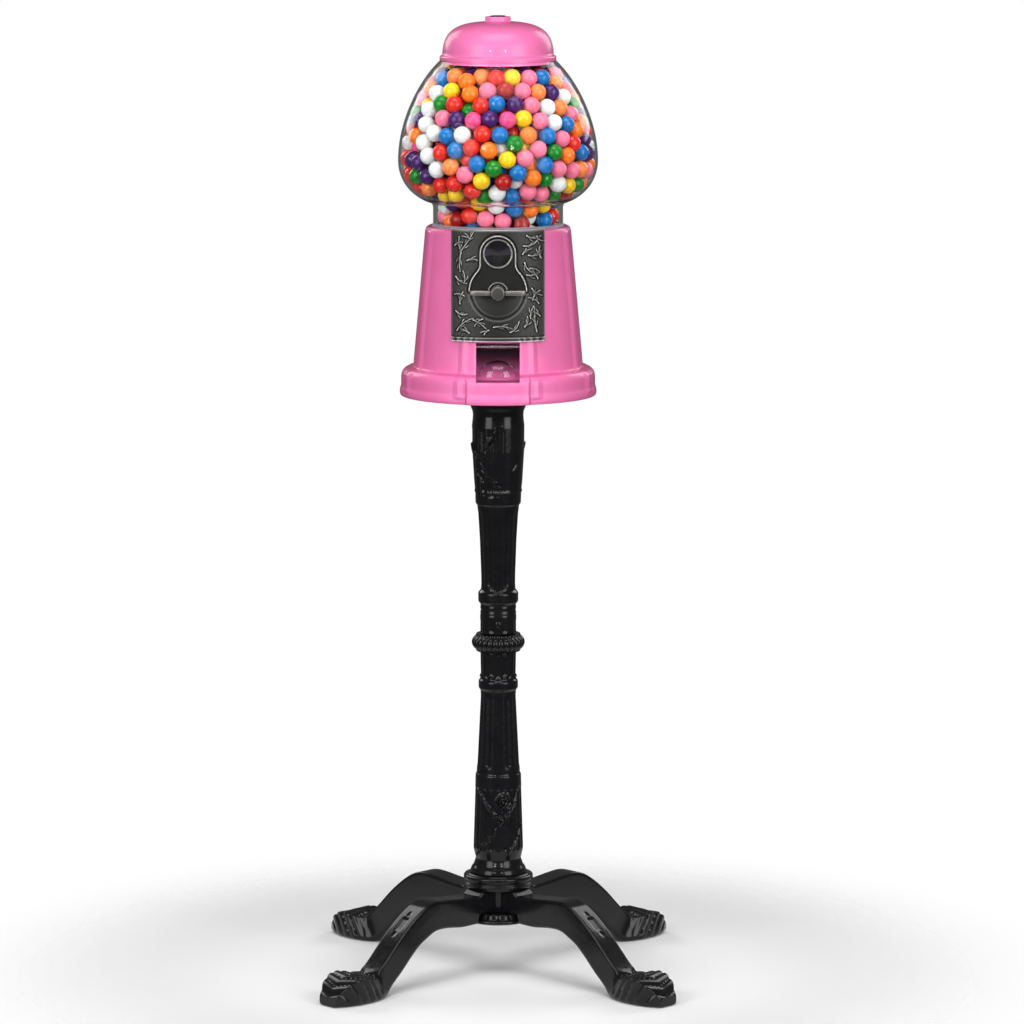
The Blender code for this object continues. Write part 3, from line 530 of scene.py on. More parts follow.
def globe_outline(steps):
    """Outer side of the glass, from its mouth down to the end of its neck."""
    low, high = span("globe")
    widest = (high.x, 811.2)
    upper = bezier((57.0, high.z), (77.0, 890.5), (widest[0], 850.0), widest, steps)
    lower = bezier(widest, (widest[0], 787.0), (80.0, 772.5), (64.0, 769.0), steps)
    return upper + lower + [(NECK_R, 766.0), (NECK_R, low.z)]


def make_globe(glass):
    low, high = span("globe")
    outer = rounded(globe_outline(36), 1.5)
    bowl, neck = inset(outer, GLASS_WALL), inset(outer, NECK_WALL)
    inner = []
    for (_, z), first, second in zip(outer, bowl, neck):
        share = float(ramp((775.0 - z) / 6.0))
        inner.append(tuple(a + (b - a) * share for a, b in zip(first, second)))
    inner[0] = (outer[0][0] - GLASS_WALL, high.z)
    inner[-1] = (outer[-1][0] - NECK_WALL, low.z)
    globe = lathe("globe_glass", outer, inner[::-1], 144)
    show(globe, glass, "machine", "clear_glass", "globe")


def ball_limits():
    """How far from the axis a gumball's centre may be, from the bottom of the fill up."""
    clearance = 0.4
    curve = inset(globe_outline(24), GLASS_WALL + BALL_RADIUS + clearance)
    top = span("gumballs")[1].z - BALL_RADIUS
    upper = [(r, z) for r, z in curve if 781.0 < z < top + 6.0]
    neck = NECK_R - NECK_WALL - BALL_RADIUS - clearance
    corner = [(neck + 5.5, 777.6), (neck + 2.0, 774.5), (neck + 0.4, 771.5), (neck, 768.5)]
    hopper = [(neck, 757.2), (46.5, 750.0), (44.0, 744.0), (43.6, 741.0)]
    hopper += [(36.5, 733.5), (36.5, 700.0)]
    limits = np.array([*upper, *corner, *hopper])[::-1]
    return limits[:, 1], limits[:, 0], span("gumballs")[0].z + BALL_RADIUS, top


def inside(points, limits):
    """Moves centres back inside the glass, off the rod, and between floor and lid."""
    heights, radii, low, high = limits
    points[:, 2] = np.clip(points[:, 2], low, high)
    away = np.hypot(points[:, 0], points[:, 1]) + 1e-9
    limit = np.interp(points[:, 2], heights, radii)
    slope = (np.interp(points[:, 2] + 0.5, heights, radii) - limit) / 0.5
    over = np.clip(away - limit, 0, None) / (1 + slope**2)
    rod = np.clip(3.2 + BALL_RADIUS - away, 0, None)
    points[:, :2] *= ((away - over + rod) / away)[:, None]
    points[:, 2] += over * slope
    return points


def pack_balls():
    """Centres of gumballs that fill the globe, pushed apart until they only touch."""
    limits = ball_limits()
    heights, radii, low, high = limits
    chance = np.random.RandomState(7)
    cap = 0.8 * BALL_RADIUS
    levels = np.linspace(low - cap, high + cap, 400)
    room = math.pi * np.trapz((np.interp(levels, heights, radii) + BALL_RADIUS) ** 2, levels)
    count = int(0.65 * room / (4 / 3 * math.pi * BALL_RADIUS**3))
    widest = radii.max()
    tries = chance.uniform((-widest, -widest, low), (widest, widest, high), (count * 6, 3))
    fits = np.hypot(tries[:, 0], tries[:, 1]) < np.interp(tries[:, 2], heights, radii)
    points = tries[fits][:count]
    diameter = 2 * BALL_RADIUS
    for step in range(700):
        if step % 10 == 0:
            gap = points[:, None, :] - points[None, :, :]
            near = np.triu((gap**2).sum(-1) < (1.45 * diameter) ** 2, 1)
            first, second = np.nonzero(near)
        apart = points[first] - points[second]
        distance = np.sqrt((apart**2).sum(-1)) + 1e-9
        push = np.clip(diameter - distance, 0, None) / distance * 0.5
        move = apart * push[:, None]
        np.add.at(points, first, move)
        np.add.at(points, second, -move)
        points[:, :2] *= 1.0006
        points[:, 2] += 0.02
        points = inside(points, limits)
    return points


# Each gumball colour, its share, and the side of the globe (x, z) where more of it lies
CANDY = {
    "red": ((0.52, 0.016, 0.010), 1.9, (-25, 865)),
    "dark_red": ((0.26, 0.005, 0.005), 0.7, (10, 850)),
    "orange": ((0.66, 0.13, 0.008), 1.1, (0, 800)),
    "peach": ((0.66, 0.17, 0.04), 0.5, (45, 860)),
    "yellow": ((0.68, 0.42, 0.007), 1.1, (-20, 815)),
    "green": ((0.004, 0.15, 0.011), 1.0, (55, 800)),
    "blue": ((0.004, 0.11, 0.34), 1.3, (30, 840)),
    "purple": ((0.040, 0.008, 0.085), 1.0, (-55, 805)),
    "white": ((0.60, 0.60, 0.61), 0.9, (-60, 840)),
    "pink": ((0.66, 0.13, 0.22), 0.9, (50, 825)),
    "hot_pink": ((0.58, 0.05, 0.17), 0.5, (-20, 880)),
}


def sphere_mesh(level):
    bm = bmesh.new()
    bmesh.ops.create_icosphere(bm, subdivisions=level, radius=BALL_RADIUS)
    points, faces = emptied(bm)
    return points, np.array(faces)


def balls_object(name, points, faces):
    mesh = bpy.data.meshes.new(name)
    mesh.from_pydata((points * MM).tolist(), [], faces.tolist())
    mesh.shade_smooth()
    return link(name, mesh)


def make_gumballs():
    centres = pack_balls()
    chance = np.random.RandomState(11)
    weights = []
    for _, share, (x, z) in CANDY.values():
        near = np.exp(-((centres[:, 0] - x) ** 2 + (centres[:, 2] - z) ** 2) / 40.0**2)
        weights.append(share * (1 + 1.8 * near))
    weights = np.array(weights)
    picks = np.cumsum(weights / weights.sum(0), axis=0)
    chosen = (chance.uniform(size=len(centres)) > picks).sum(0)
    heights, radii, _, high = ball_limits()
    depth = np.interp(centres[:, 2], heights, radii) - np.hypot(centres[:, 0], centres[:, 1])
    hidden = (depth > 30.0) & (centres[:, 2] < high - 25.0)
    fine, coarse = sphere_mesh(4), sphere_mesh(2)
    for number, (name, (colour, _, _)) in enumerate(CANDY.items()):
        points, faces, count = [], [], 0
        for index in np.nonzero(chosen == number)[0]:
            ball, sides = coarse if hidden[index] else fine
            points.append(ball + centres[index])
            faces.append(sides + count)
            count += len(ball)
        obj = balls_object(f"gumballs_{name}", np.concatenate(points), np.concatenate(faces))
        show(obj, candy(f"candy {name}", colour), "machine", "gumballs", "gumballs")


# Body


def body_radius(z):
    slope = (BODY_FOOT_R - BODY_SHOULDER_R) / (BODY_SHOULDER_Z - BODY_FOOT_Z)
    return BODY_SHOULDER_R + (BODY_SHOULDER_Z - z) * slope


def body_relief(angle, z, radius):
    """Eight stepped ribs down the cone, and the lobe at the front of the skirt."""
    pitch = math.tau / RIBS
    off = np.abs((angle % pitch) - pitch / 2) * radius
    rib = 0.5 * ramp((7.2 - off) / 1.0) + 0.5 * ramp((4.4 - off) / 1.0)
    rib = rib * ramp((z - 584.0) / 4.0) * ramp((745.8 - z) / 3.0)
    across = np.abs(radius * np.sin(angle))
    front = (np.cos(angle) > 0) & (radius > 90.0)
    lobe = np.where(front, LOBE_DEPTH * ramp((LOBE_HALF_WIDTH + 1.2 - across) / 2.4), 0.0)
    return RIB_HEIGHT * rib + lobe


def make_body(pink):
    low, high = span("body_casting")
    bottom, top = low.z, high.z
    slope = [(DECK_RECESS_R, top), (67.8, top), (70.6, top - 1.5)]
    slope += [(BODY_SHOULDER_R, BODY_SHOULDER_Z), (BODY_FOOT_R, BODY_FOOT_Z), (88.0, 607.5)]
    slope += [(92.0, 606.5), (95.0, 603.0), (95.8, 599.0), (95.8, 590.0), (97.0, 586.5)]
    slope += [(97.3, 583.0), (96.8, 580.6), (96.0, bottom)]
    inner = [(93.0, bottom), (93.0, bottom + 3.4), (90.0, bottom + 3.4), (90.0, 598.0)]
    inner += [(body_radius(BODY_FOOT_Z) - BODY_WALL, BODY_FOOT_Z - 2.0)]
    inner += [(BODY_SHOULDER_R - BODY_WALL, DECK_Z), (DECK_HOLE_R, DECK_Z)]
    inner += [(DECK_HOLE_R, top - 1.4), (DECK_RECESS_R, top - 1.4)]
    outer = dense(rounded(slope, 2.2, 4), 3.0)
    body = lathe("body_shell", outer, inner, 432, body_relief)
    carve(body, "DIFFERENCE", *(block(name, *sides) for name, sides in OPENINGS.items()))
    show(body, pink, "machine", "pink_coat", "body_casting")


def make_hopper(alloy):
    low, high = span("hopper")
    outer = [(55.0, high.z), (64.3, high.z), (high.x, high.z - 0.6), (high.x, high.z - 2.1)]
    outer += [(56.0, 746.2), (56.0, 740.0), (48.1, 734.0), (48.1, low.z), (4.0, low.z)]
    inner = [(4.0, low.z + 3.5), (46.1, low.z + 3.5), (46.1, 733.2), (53.8, 739.2), (53.8, 747.3)]
    hopper = lathe("hopper_dish", outer, inner, 128)
    hole = cylinder("drop", 10.0, 700.0, 680.0, 48)
    hole.data.transform(Matrix.Translation((14.5 * MM, -25.1 * MM, 0)))
    carve(hopper, "DIFFERENCE", hole, block("gap", (-9.5, 9.5), (-56.0, -37.0), (680.0, 697.6)))
    show(hopper, alloy, "machine", "cast_alloy", "hopper")


# Coin plate and handle

# Twigs of the plate's relief: x, height above the plate's foot, heading, length, bend, leaves
TWIGS = [
    (-37, 86, 50, 24, 12, 4), (-36, 86, 112, 15, -30, 2), (-36, 85, -105, 18, 25, 3),
    (-42, 92, 62, 9, -80, 1), (-27, 99, 150, 9, 30, 1), (-41, 62, -60, 13, 60, 2),
    (-42, 45, 20, 10, -60, 1), (-41, 29, -50, 12, 70, 2), (-40, 10, 60, 21, -45, 3),
    (-24, 21, -25, 17, -20, 2), (-4, 14, 12, 21, -40, 3), (-9, 11, 200, 11, 90, 1),
    (38, 9, 105, 24, -20, 4), (26, 14, 40, 11, 70, 2), (40, 36, 120, 13, 60, 2),
    (33, 51, -60, 13, 50, 2), (25, 92, -10, 17, 70, 2), (28, 102, -40, 15, 75, 2),
    (30, 83, -20, 13, 60, 2), (26, 76, -80, 14, 60, 1), (31, 70, 10, 11, -60, 1),
    (28, 64, -15, 13, 50, 2), (38, 101, -70, 10, 80, 1), (-30, 78, 30, 11, -60, 2),
    (-33, 56, 70, 12, 50, 2), (-37, 36, 100, 12, -50, 2), (-28, 8, 140, 12, 40, 2),
    (-15, 22, -160, 11, 50, 1), (12, 9, 20, 14, 60, 2), (32, 22, 100, 13, -50, 3),
    (41, 24, 130, 11, 50, 2), (39, 60, 110, 14, 40, 3), (34, 40, 80, 12, -60, 2),
    (42, 80, 120, 12, -50, 2), (24, 84, 60, 10, -60, 2),
]


def plate_relief(x, z, foot):
    """Height of the twigs and leaves over the plate."""
    height = np.zeros(x.shape)
    for start_x, start_z, heading, length, bend, count in TWIGS:
        stem = curl((start_x, foot + start_z), heading, length, bend)
        height = np.maximum(height, ridge(x, z, stem, 1.15, 1.3, 0.35))
        for k in range(count):
            index = 2 + 2 * k
            side = 1 if k % 2 else -1
            turn = heading + bend * index / 10 + side * 48
            leaf = curl(stem[min(index, 9)], turn, 6.0 - 0.6 * k, -side * 45, 6)
            height = np.maximum(height, ridge(x, z, leaf, 1.4, 1.1, 0.55))
    return height


def plate_front(x, z):
    """How far each point of the plate's front lies before the machine's axis."""
    low, high = span("coin_plate")
    foot, top = low.z, high.z
    base = np.sqrt((body_radius(z) + PLATE_PROUD) ** 2 - x**2)
    disc = np.hypot(x, z - AXIS_Z) - DISC_R
    stem = np.hypot(x, np.maximum(z - WINDOW_Z, 0) + np.minimum(z - AXIS_Z, 0)) - RING_R
    upper = ramp((z - AXIS_Z + 1.0) / 2.0)
    blend = np.clip(0.5 + 0.5 * (stem - disc) / 4.0, 0, 1)
    joined = stem + (disc - stem) * blend - 4.0 * blend * (1 - blend)
    raised = ramp(0.5 - joined / 1.2) * upper
    face = np.maximum(base, RAISED_FACE)
    twigs = plate_relief(x, z, foot) * (1 - raised) * ramp((z - foot - 5.0) / 2.0)
    front = base * (1 - raised) + face * raised + twigs
    outline = bell(joined + 1.2, 0.95) * upper
    rim = bell(np.hypot(x, z - WINDOW_Z) - WINDOW_R - 0.9, 0.7)
    collar = bell(np.hypot(x, z - AXIS_Z) - 9.0, 0.7) * upper
    groove = bell(disc + 3.0, 1.1) * (1 - upper)
    dish = 0.8 * (1 - upper) * ramp(-disc / 4.0)
    front += 1.3 * outline + 0.6 * rim + 0.6 * collar - 0.45 * groove - dish
    lip = ramp((foot + 4.6 - z) / 1.0) * ramp((z - foot + 0.8) / 0.8)
    beads = 0.25 * np.cos(math.tau * x / 6.5) * ramp((np.abs(x) - 18.0) / 6.0)
    front += lip * (1.3 + beads)
    edge = np.minimum(PLATE_HALF - np.abs(x), top - z)
    return front - 0.6 * ramp(1 - edge / 1.0)


def make_coin_plate(pewter):
    low, high = span("coin_plate")
    half = high.x
    columns, rows = 168, 192
    x, z = np.meshgrid(np.linspace(-half, half, columns), np.linspace(low.z, high.z, rows))
    front = -plate_front(x, z)
    back = -np.sqrt((body_radius(z) + PLATE_INNER) ** 2 - x**2)
    points = [np.stack((x, y, z), axis=-1).reshape(-1, 3) for y in (front, back)]
    sides = grid_faces(rows, columns, loop_columns=False)
    size = rows * columns
    faces = sides + [tuple(i + size for i in face) for face in sides]
    index = np.arange(size).reshape(rows, columns)
    edges = (index[0], index[1:, -1], index[-1, -2::-1], index[-2:0:-1, 0])
    border = np.concatenate(edges).tolist()
    for a, b in zip(border, border[1:] + border[:1]):
        faces.append((a, b, b + size, a + size))
    plate = solid("coin_plate_relief", np.concatenate(points), faces, 60.0)
    carve(
        plate,
        "DIFFERENCE",
        drum("window", WINDOW_R, -95.0, -60.0, (0, WINDOW_Z)),
        drum("shaft", SHAFT_HOLE_R, -95.0, -60.0, (0, AXIS_Z), 32),
    )
    show(plate, pewter, "machine", "pewter", "coin_plate")


def make_handle(pewter):
    """A thin bar with round ends, thicker towards a domed hub."""
    low, high = span("handle")
    front, back = low.y, high.y
    bore, floor = SHAFT_HOLE_R, front + 5.0
    hub = rounded([(0.0, front), (5.8, front), (7.0, front + 1.0), (7.0, back), (bore, back)], 0.6)
    handle = turned_along_y("handle_grip", [*hub, (bore, floor), (0.0, floor)], (0, AXIS_Z))
    sections, around = 61, 20
    share = np.linspace(-1, 1, sections)
    reach = high.x * np.sin(share * math.pi / 2)
    edge = np.sqrt(np.clip(1 - np.abs(reach / high.x) ** 14, 0, 1))
    thick = (2.3 + 0.5 * np.abs(reach) / high.x) * edge
    deep = (5.0 - 0.9 * np.abs(reach) / high.x) * edge
    turn = math.tau * (np.arange(around) + 0.5) / around
    round_y = np.sign(np.sin(turn)) * np.abs(np.sin(turn)) ** 0.4
    round_z = np.sign(np.cos(turn)) * np.abs(np.cos(turn)) ** 0.4
    x = np.repeat(reach[:, None], around, axis=1)
    y = -91.5 + deep[:, None] * round_y
    z = AXIS_Z + thick[:, None] * round_z
    faces = grid_faces(sections, around)
    bar = solid("bar", np.stack((x, y, z), axis=-1).reshape(-1, 3), faces)
    carve(handle, "UNION", bar)
    show(handle, pewter, "handle_train", "pewter", "handle")


def make_coin_wheel(steel):
    """The notched ratchet wheel; its ridged carrier holds the coin in the window."""
    low, _ = span("coin_wheel")
    teeth, outer_r, face, back = 24, 44.0, -54.0, -51.0
    outline = []
    for k in range(teeth):
        for radius, share in ((outer_r, 0.0), (outer_r - 2.0, 0.75)):
            angle = math.tau * (k + share) / teeth
            outline.append((radius * math.cos(angle), AXIS_Z + radius * math.sin(angle)))
    points = [(x, y, z) for y in (face, back) for x, z in outline]
    wheel = solid("coin_carrier", points, prism_faces(len(outline)))
    side = [(0, low.y), (7.4, low.y), (8.0, low.y + 0.6), (8.0, back - 0.2), (0, back - 0.2)]
    hub = turned_along_y("hub", side, (0, AXIS_Z))
    steps = []
    for k in range(4):
        depth = (face - 1.5 + 0.5 * k, face + 0.5)
        height = (AXIS_Z + 19.0 + 3.4 * k, AXIS_Z + 21.9 + 3.4 * k)
        steps.append(block(f"step{k}", (-14.0, 14.0), depth, height))
    carve(wheel, "UNION", hub, *steps)
    notch = block("notch", (-13.0, 13.0), (-60.0, -45.0), (AXIS_Z + 32.7, AXIS_Z + 60.0))
    carve(wheel, "DIFFERENCE", notch, drum("bore", SHAFT_HOLE_R, -70.0, -45.0, (0, AXIS_Z), 32))
    show(wheel, steel, "handle_train", "zinc_steel", "coin_wheel")


def make_door(plastic):
    low, high = span("chute_door")
    pin_low, pin_high = span("door_pin")
    pin_y, pin_z = (pin_low.y + pin_high.y) / 2, (pin_low.z + pin_high.z) / 2
    half, bottom = high.x, low.z

    def bubble(name, shrink):
        size = [value - shrink for value in (19.3, 15.0, 15.5)]
        bm = bmesh.new()
        bmesh.ops.create_uvsphere(bm, u_segments=64, v_segments=32, radius=1.0)
        points, faces = emptied(bm)
        return solid(name, points * size + (0.0, -72.8, bottom), faces)

    def knuckle(name, radius, reach):
        made = cylinder(name, radius, reach, -reach, 32)
        made.data.transform(Matrix.Rotation(math.pi / 2, 4, "Y"))
        made.data.transform(Matrix.Translation((0, pin_y * MM, pin_z * MM)))
        return made

    door = block("door_flap", (-half, half), (-73.6, -72.0), (bottom, pin_z))
    carve(door, "UNION", knuckle("knuckle", 2.6, half), bubble("bubble", 0.0))
    carve(
        door,
        "DIFFERENCE",
        block("rear", (-30.0, 30.0), (-72.0, -50.0), (590.0, pin_z - 2.9)),
        block("below", (-30.0, 30.0), (-100.0, -40.0), (580.0, bottom)),
        bubble("hollow", 1.5),
        knuckle("pin", 1.5, 30.0),
    )
    show(door, plastic, "door", "clear_plastic", "chute_door")


# Stand


def flutes(angle, count, depth):
    """Grooves round a column."""
    return -depth * np.abs(np.cos(angle * count / 2)) ** 2.0


def between(z, low, high, edge=2.0):
    return ramp((z - low) / edge) * ramp((high - z) / edge)


def arc_length(angle, radius):
    """Arc length from the nearer of the front and back lines."""
    return ((angle + math.pi / 2) % math.pi - math.pi / 2) * radius


def with_ribbons(height, bands):
    """Ribbons that lie over the flutes and fill them."""
    ribbons = np.max(bands, axis=0)
    return np.where(ribbons > 0.05, np.maximum(height, 0) + ribbons, height)


def upper_relief(angle, z, radius):
    """Flutes, crossing ribbons on the top sleeve, and a small drop under the rings."""
    left = ramp((0.3 - angle) / 0.15)
    height = flutes(angle, 20, 0.9) * between(z, 479, 547) * left
    height += flutes(angle, 12, 0.7) * between(z, 386, 466, 6)
    height += flutes(angle, 16, 0.6) * between(z, 342.5, 355)
    s = arc_length(angle, radius)
    bands = [
        ribbon(s, z, [(-13, 531), (2, 551)], 2.2, 1.7),
        ribbon(s, z, [(-14, 523), (-2, 539)], 1.0, 1.1),
        ribbon(s, z, [(-36, 531), (-24, 516), (-12, 499), (2, 489)], 2.0, 1.7),
        ribbon(s, z, [(-26, 506), (-17, 494)], 1.0, 1.1),
        ribbon(s, z, [(16, 505), (20, 511), (25, 515)], 1.0, 0.7),
    ]
    height = with_ribbons(height, bands)
    height += 0.8 * bell(z - 484, 1.2) * (np.abs(angle) < 3)
    drop = np.hypot(angle * radius / 1.2, (z - 351.5) / 1.6) - 2.2
    return height + 1.1 * ramp(-drop / 1.2) * (z < 356)


def lower_relief(angle, z, radius):
    """Flutes, a rose with crossed ribbons on the bottom sleeve, and leaf tips by the ring."""
    height = flutes(angle, 12, 0.7) * between(z, 205, 281, 5)
    height += flutes(angle, 20, 0.7) * between(z, 123, 186)
    height += flutes(angle, 16, 0.7) * between(z, 299, 321)
    s = arc_length(angle, radius)
    crossing = [(-24, 184), (-13, 171), (-4, 160), (4, 155), (-6, 140), (-26, 119)]
    bands = [
        ribbon(s, z, crossing, 1.9, 1.6),
        ribbon(s, z, [(26, 186), (15, 166), (8, 158)], 1.7, 1.5),
        ribbon(s, z, [(30, 150), (22, 134), (10, 121)], 1.4, 1.0),
    ]
    height = with_ribbons(height, bands)
    rose_s, rose_z = 6.0, 173.0
    away = np.hypot(s - rose_s, z - rose_z)
    swirl = np.arctan2(z - rose_z, s - rose_s)
    petals = 0.9 * np.cos(math.tau * (away / 3.0) - swirl)
    rose = ramp((9.8 - away) / 1.5)
    height = height * (1 - rose) + rose * (1.3 + 1.0 * petals)
    tips = np.abs((angle + math.pi / 16) % (math.pi / 8) - math.pi / 16) * radius
    return height + 0.9 * ramp((2.4 - tips - (z - 297) * 0.9) / 1.0) * between(z, 295.8, 303, 1)


def make_columns(iron):
    low, high = span("upper_column")
    upper = [
        (11.0, high.z), (high.x, high.z), (high.x, 573.0), (27.6, 568.5), (25.6, 564.0),
        (25.0, 560.0), (25.2, 556.0), (26.0, 549.0), (25.8, 524.0), (24.0, 494.0), (23.0, 484.0),
        (22.5, 471.5), (20.7, 469.5), (18.6, 435.0), (17.4, 402.0), (17.1, 385.0), (19.9, 382.0),
        (19.9, 373.0), (17.4, 370.0), (17.8, 368.0), (17.8, 366.0), (17.3, 364.6), (18.0, 361.6),
        (17.6, 360.6), (18.0, 359.0), (18.0, low.z), (11.0, low.z),
    ]

    low, high = span("lower_column")
    lower = [
        (11.0, high.z), (18.0, high.z), (17.5, 295.5), (19.6, 293.0), (19.6, 286.0),
        (17.5, 283.0), (21.5, 203.0), (21.6, 200.0), (22.7, 198.5), (23.0, 187.0), (25.0, 125.0),
        (24.2, 120.0), (22.5, 113.0), (24.5, 107.0), (27.3, 103.0), (high.x, low.z),
        (11.0, low.z),
    ]

    for node, side, relief in (
        ("upper_column", upper, upper_relief),
        ("lower_column", lower, lower_relief),
    ):
        side = dense(rounded(side, 1.2), 1.1)
        show_iron(lathe(f"{node}_relief", side, (), 240, relief), iron, node)


def make_collar(iron):
    """A fat ring of leaf-shaped beads."""
    low, high = span("column_collar")
    middle = (low.z + high.z) / 2
    round_side = [
        (19.0 + 7.4 * math.cos(a), middle + 7.6 * math.sin(a))
        for a in np.radians(np.linspace(64, -64, 24))
    ]
    outer = [(BORE_R, high.z), (22.0, high.z), *round_side, (22.0, low.z), (BORE_R, low.z)]

    def beads(angle, z, radius):
        lobe = np.abs(np.sin(angle * 13)) ** 0.6
        return -1.5 * (1 - lobe) * ramp((radius - 20.0) / 3.0)

    collar = lathe("collar_beads", outer, (), 312, beads)
    show_iron(collar, iron, "column_collar")


def make_hub(iron):
    low, high = span("stand_hub")
    collar_r, neck_r, arm, arm_face = 34.6, 19.5, 12.0, 21.7
    outer = [(BORE_R, high.z), (30.6, high.z), (31.4, high.z - 1.0), (33.4, high.z - 1.4)]
    outer += [(collar_r, high.z - 2.6), (collar_r, 92.0), (33.2, 91.4), (33.2, 89.4)]
    outer += [(collar_r, 88.8), (collar_r, 86.6), (33.4, 84.0), (BORE_R, 84.0)]
    hub = lathe("hub_collar", dense(rounded(outer, 0.7), 4.0), (), 128)
    start = math.asin(arm / neck_r)
    plan = []
    for degrees in QUARTERS:
        turn = Matrix.Rotation(math.radians(degrees), 2)
        corner = [(arm_face, -arm), (arm_face, arm)]
        for k in range(9):
            angle = start + (math.pi / 2 - 2 * start) * k / 8
            corner.append((neck_r * math.cos(angle), neck_r * math.sin(angle)))
        plan += [tuple(turn @ Vector(point)) for point in corner]
    points = [(x, y, z) for z in (low.z, 86.0) for x, y in plan]
    neck = solid("neck", points, prism_faces(len(plan)))
    step = neck.modifiers.new("soft edges", "BEVEL")
    step.width = 0.8 * MM
    step.segments = 2
    carve(neck, "UNION")
    bore = cylinder("bore", BORE_R, 110.0, 40.0, 48)
    carve(hub, "UNION", neck)
    carve(hub, "DIFFERENCE", bore)
    show_iron(hub, iron, "stand_hub")


def make_hub_plate(iron):
    """The plate between the legs, with a leafy edge over a rounded rim."""
    low, high = span("hub_bottom_plate")
    rim = high.x
    outer = [(BORE_R, high.z), (31.0, high.z), (33.0, 56.0), (33.4, 55.0), (rim, 54.0)]
    outer += [(rim, 51.5), (33.0, low.z), (BORE_R, low.z)]

    def leaves(angle, z, radius):
        lobe = 1 - np.abs(np.sin(angle * 8)) ** 0.7
        return -1.8 * lobe * ramp((z - 54.8) / 1.0) * ramp((radius - 27.0) / 3.0)

    plate = lathe("hub_plate_leaves", dense(rounded(outer, 0.8), 1.0), (), 256, leaves)
    holes = [cylinder("nut_pocket", 13.0, 56.0, 40.0, 48)]
    steps = [(0.0, 70.0), (2.8, 70.0), (2.8, 54.0), (5.2, 54.0), (5.2, 40.0), (0.0, 40.0)]
    out = 26.5 * MM
    for degrees in QUARTERS:
        angle = math.radians(degrees)
        hole = lathe("screw", steps, columns=32)
        hole.data.transform(Matrix.Translation((out * math.cos(angle), out * math.sin(angle), 0)))
        holes.append(hole)
    carve(plate, "DIFFERENCE", *holes)
    show_iron(plate, iron, "hub_bottom_plate")


# Leg sections from root to claw: top (reach, height), underside (reach, height), half width
LEG = [
    (22.0, 83.7, 22.0, 60.3, 12.3), (32.5, 83.7, 32.0, 60.3, 12.3),
    (38.0, 79.5, 38.0, 60.3, 12.3), (40.0, 79.5, 40.0, 52.0, 12.3),
    (60.0, 81.0, 60.0, 52.0, 12.3), (84.0, 83.5, 80.0, 54.3, 12.3),
    (98.0, 84.0, 92.0, 54.5, 12.3), (110.0, 81.3, 100.0, 53.0, 12.3),
    (122.0, 74.8, 107.5, 49.5, 12.3), (135.0, 65.5, 118.5, 43.5, 12.3),
    (148.0, 54.5, 130.0, 34.0, 12.3), (162.0, 41.0, 143.5, 21.0, 12.3),
    (175.0, 29.0, 157.0, 9.5, 12.6), (182.0, 25.0, 166.0, 1.5, 15.0),
    (189.0, 25.0, 176.0, 0.0, 19.5), (200.0, 27.5, 191.0, 0.0, 22.5),
    (212.0, 26.5, 208.0, 0.0, 22.0), (224.0, 20.0, 222.0, 0.0, 18.5),
    (234.0, 10.0, 234.0, 1.0, 11.5),
]
ROOT_RUNS = 3  # straight runs at the root, before the curve starts
ANKLE, TIP = 174.0, LEG[-1][0]
SLOT_LOW, SLOT_HIGH = 127.0, 141.0
LEG_ANGLES = {"front_right": -45, "rear_right": 45, "rear_left": 135, "front_left": -135}


def leg_sections(step):
    """The sections joined by a smooth curve, about step apart along the top."""
    known = np.array(LEG)
    slopes = np.gradient(known, axis=0)
    slopes[:ROOT_RUNS] = 0
    slopes[ROOT_RUNS] = known[ROOT_RUNS + 1] - known[ROOT_RUNS]
    made = []
    for k in range(len(known) - 1):
        run = known[k + 1] - known[k]
        count = max(1, int(np.hypot(run[0], run[1]) / step))
        if k < ROOT_RUNS:
            made += [known[k] + run * i / count for i in range(count)]
            continue
        for i in range(count):
            t = i / count
            h00, h10 = 2 * t**3 - 3 * t**2 + 1, t**3 - 2 * t**2 + t
            h01, h11 = 3 * t**2 - 2 * t**3, t**3 - t**2
            start = h00 * known[k] + h10 * slopes[k]
            made.append(start + h01 * known[k + 1] + h11 * slopes[k + 1])
    made = np.array([*made, known[-1]])
    made[:, 3] = np.maximum(made[:, 3], 0.0)
    made[:, 4] = np.minimum(made[:, 4], known[:, 4].max())
    return made


def leg_ring(half, depth):
    """Points and outward directions round one section, as (across, down) pairs.

    The upper edges are crisp and the lower ones round.
    """
    top, low = min(2.0, depth / 3, half / 3), min(6.0, depth / 3, half / 3)
    quarter = [(math.sin(a), math.cos(a)) for a in np.radians(np.linspace(0, 90, 6))]
    right = [(x, 0.0, 0.0, -1.0) for x in np.linspace(0, half - top, 13)[:-1]]
    right += [(half - top * (1 - s), top * (1 - c), s, -c) for s, c in quarter]
    right += [(half, down, 1.0, 0.0) for down in np.linspace(top, depth - low, 13)[1:-1]]
    right += [(half - low * (1 - c), depth - low * (1 - s), c, s) for s, c in quarter]
    right += [(x, depth, 0.0, 1.0) for x in np.linspace(half - low, 0, 13)[1:]]
    left = [(-x, down, -nx, ny) for x, down, nx, ny in right[-2:0:-1]]
    ring = np.array(right + left)
    return ring[:, :2], ring[:, 2:]


def foot_relief(reach, across, down, height):
    """Toes that run down the claw and lean back to the ankle, with narrow deep valleys."""
    on_foot = ramp((reach - ANKLE) / 6.0) * ramp((TIP + 1 - reach) / 8.0)
    on_foot *= ramp((height - 1.0) / 4.0)
    sweep = reach - ANKLE + 0.5 * down + 0.3 * np.abs(across)
    toes = np.abs(np.sin(math.pi * sweep / 10.0)) ** 0.4
    return on_foot * (-3.0 * (1 - toes) - 0.2)


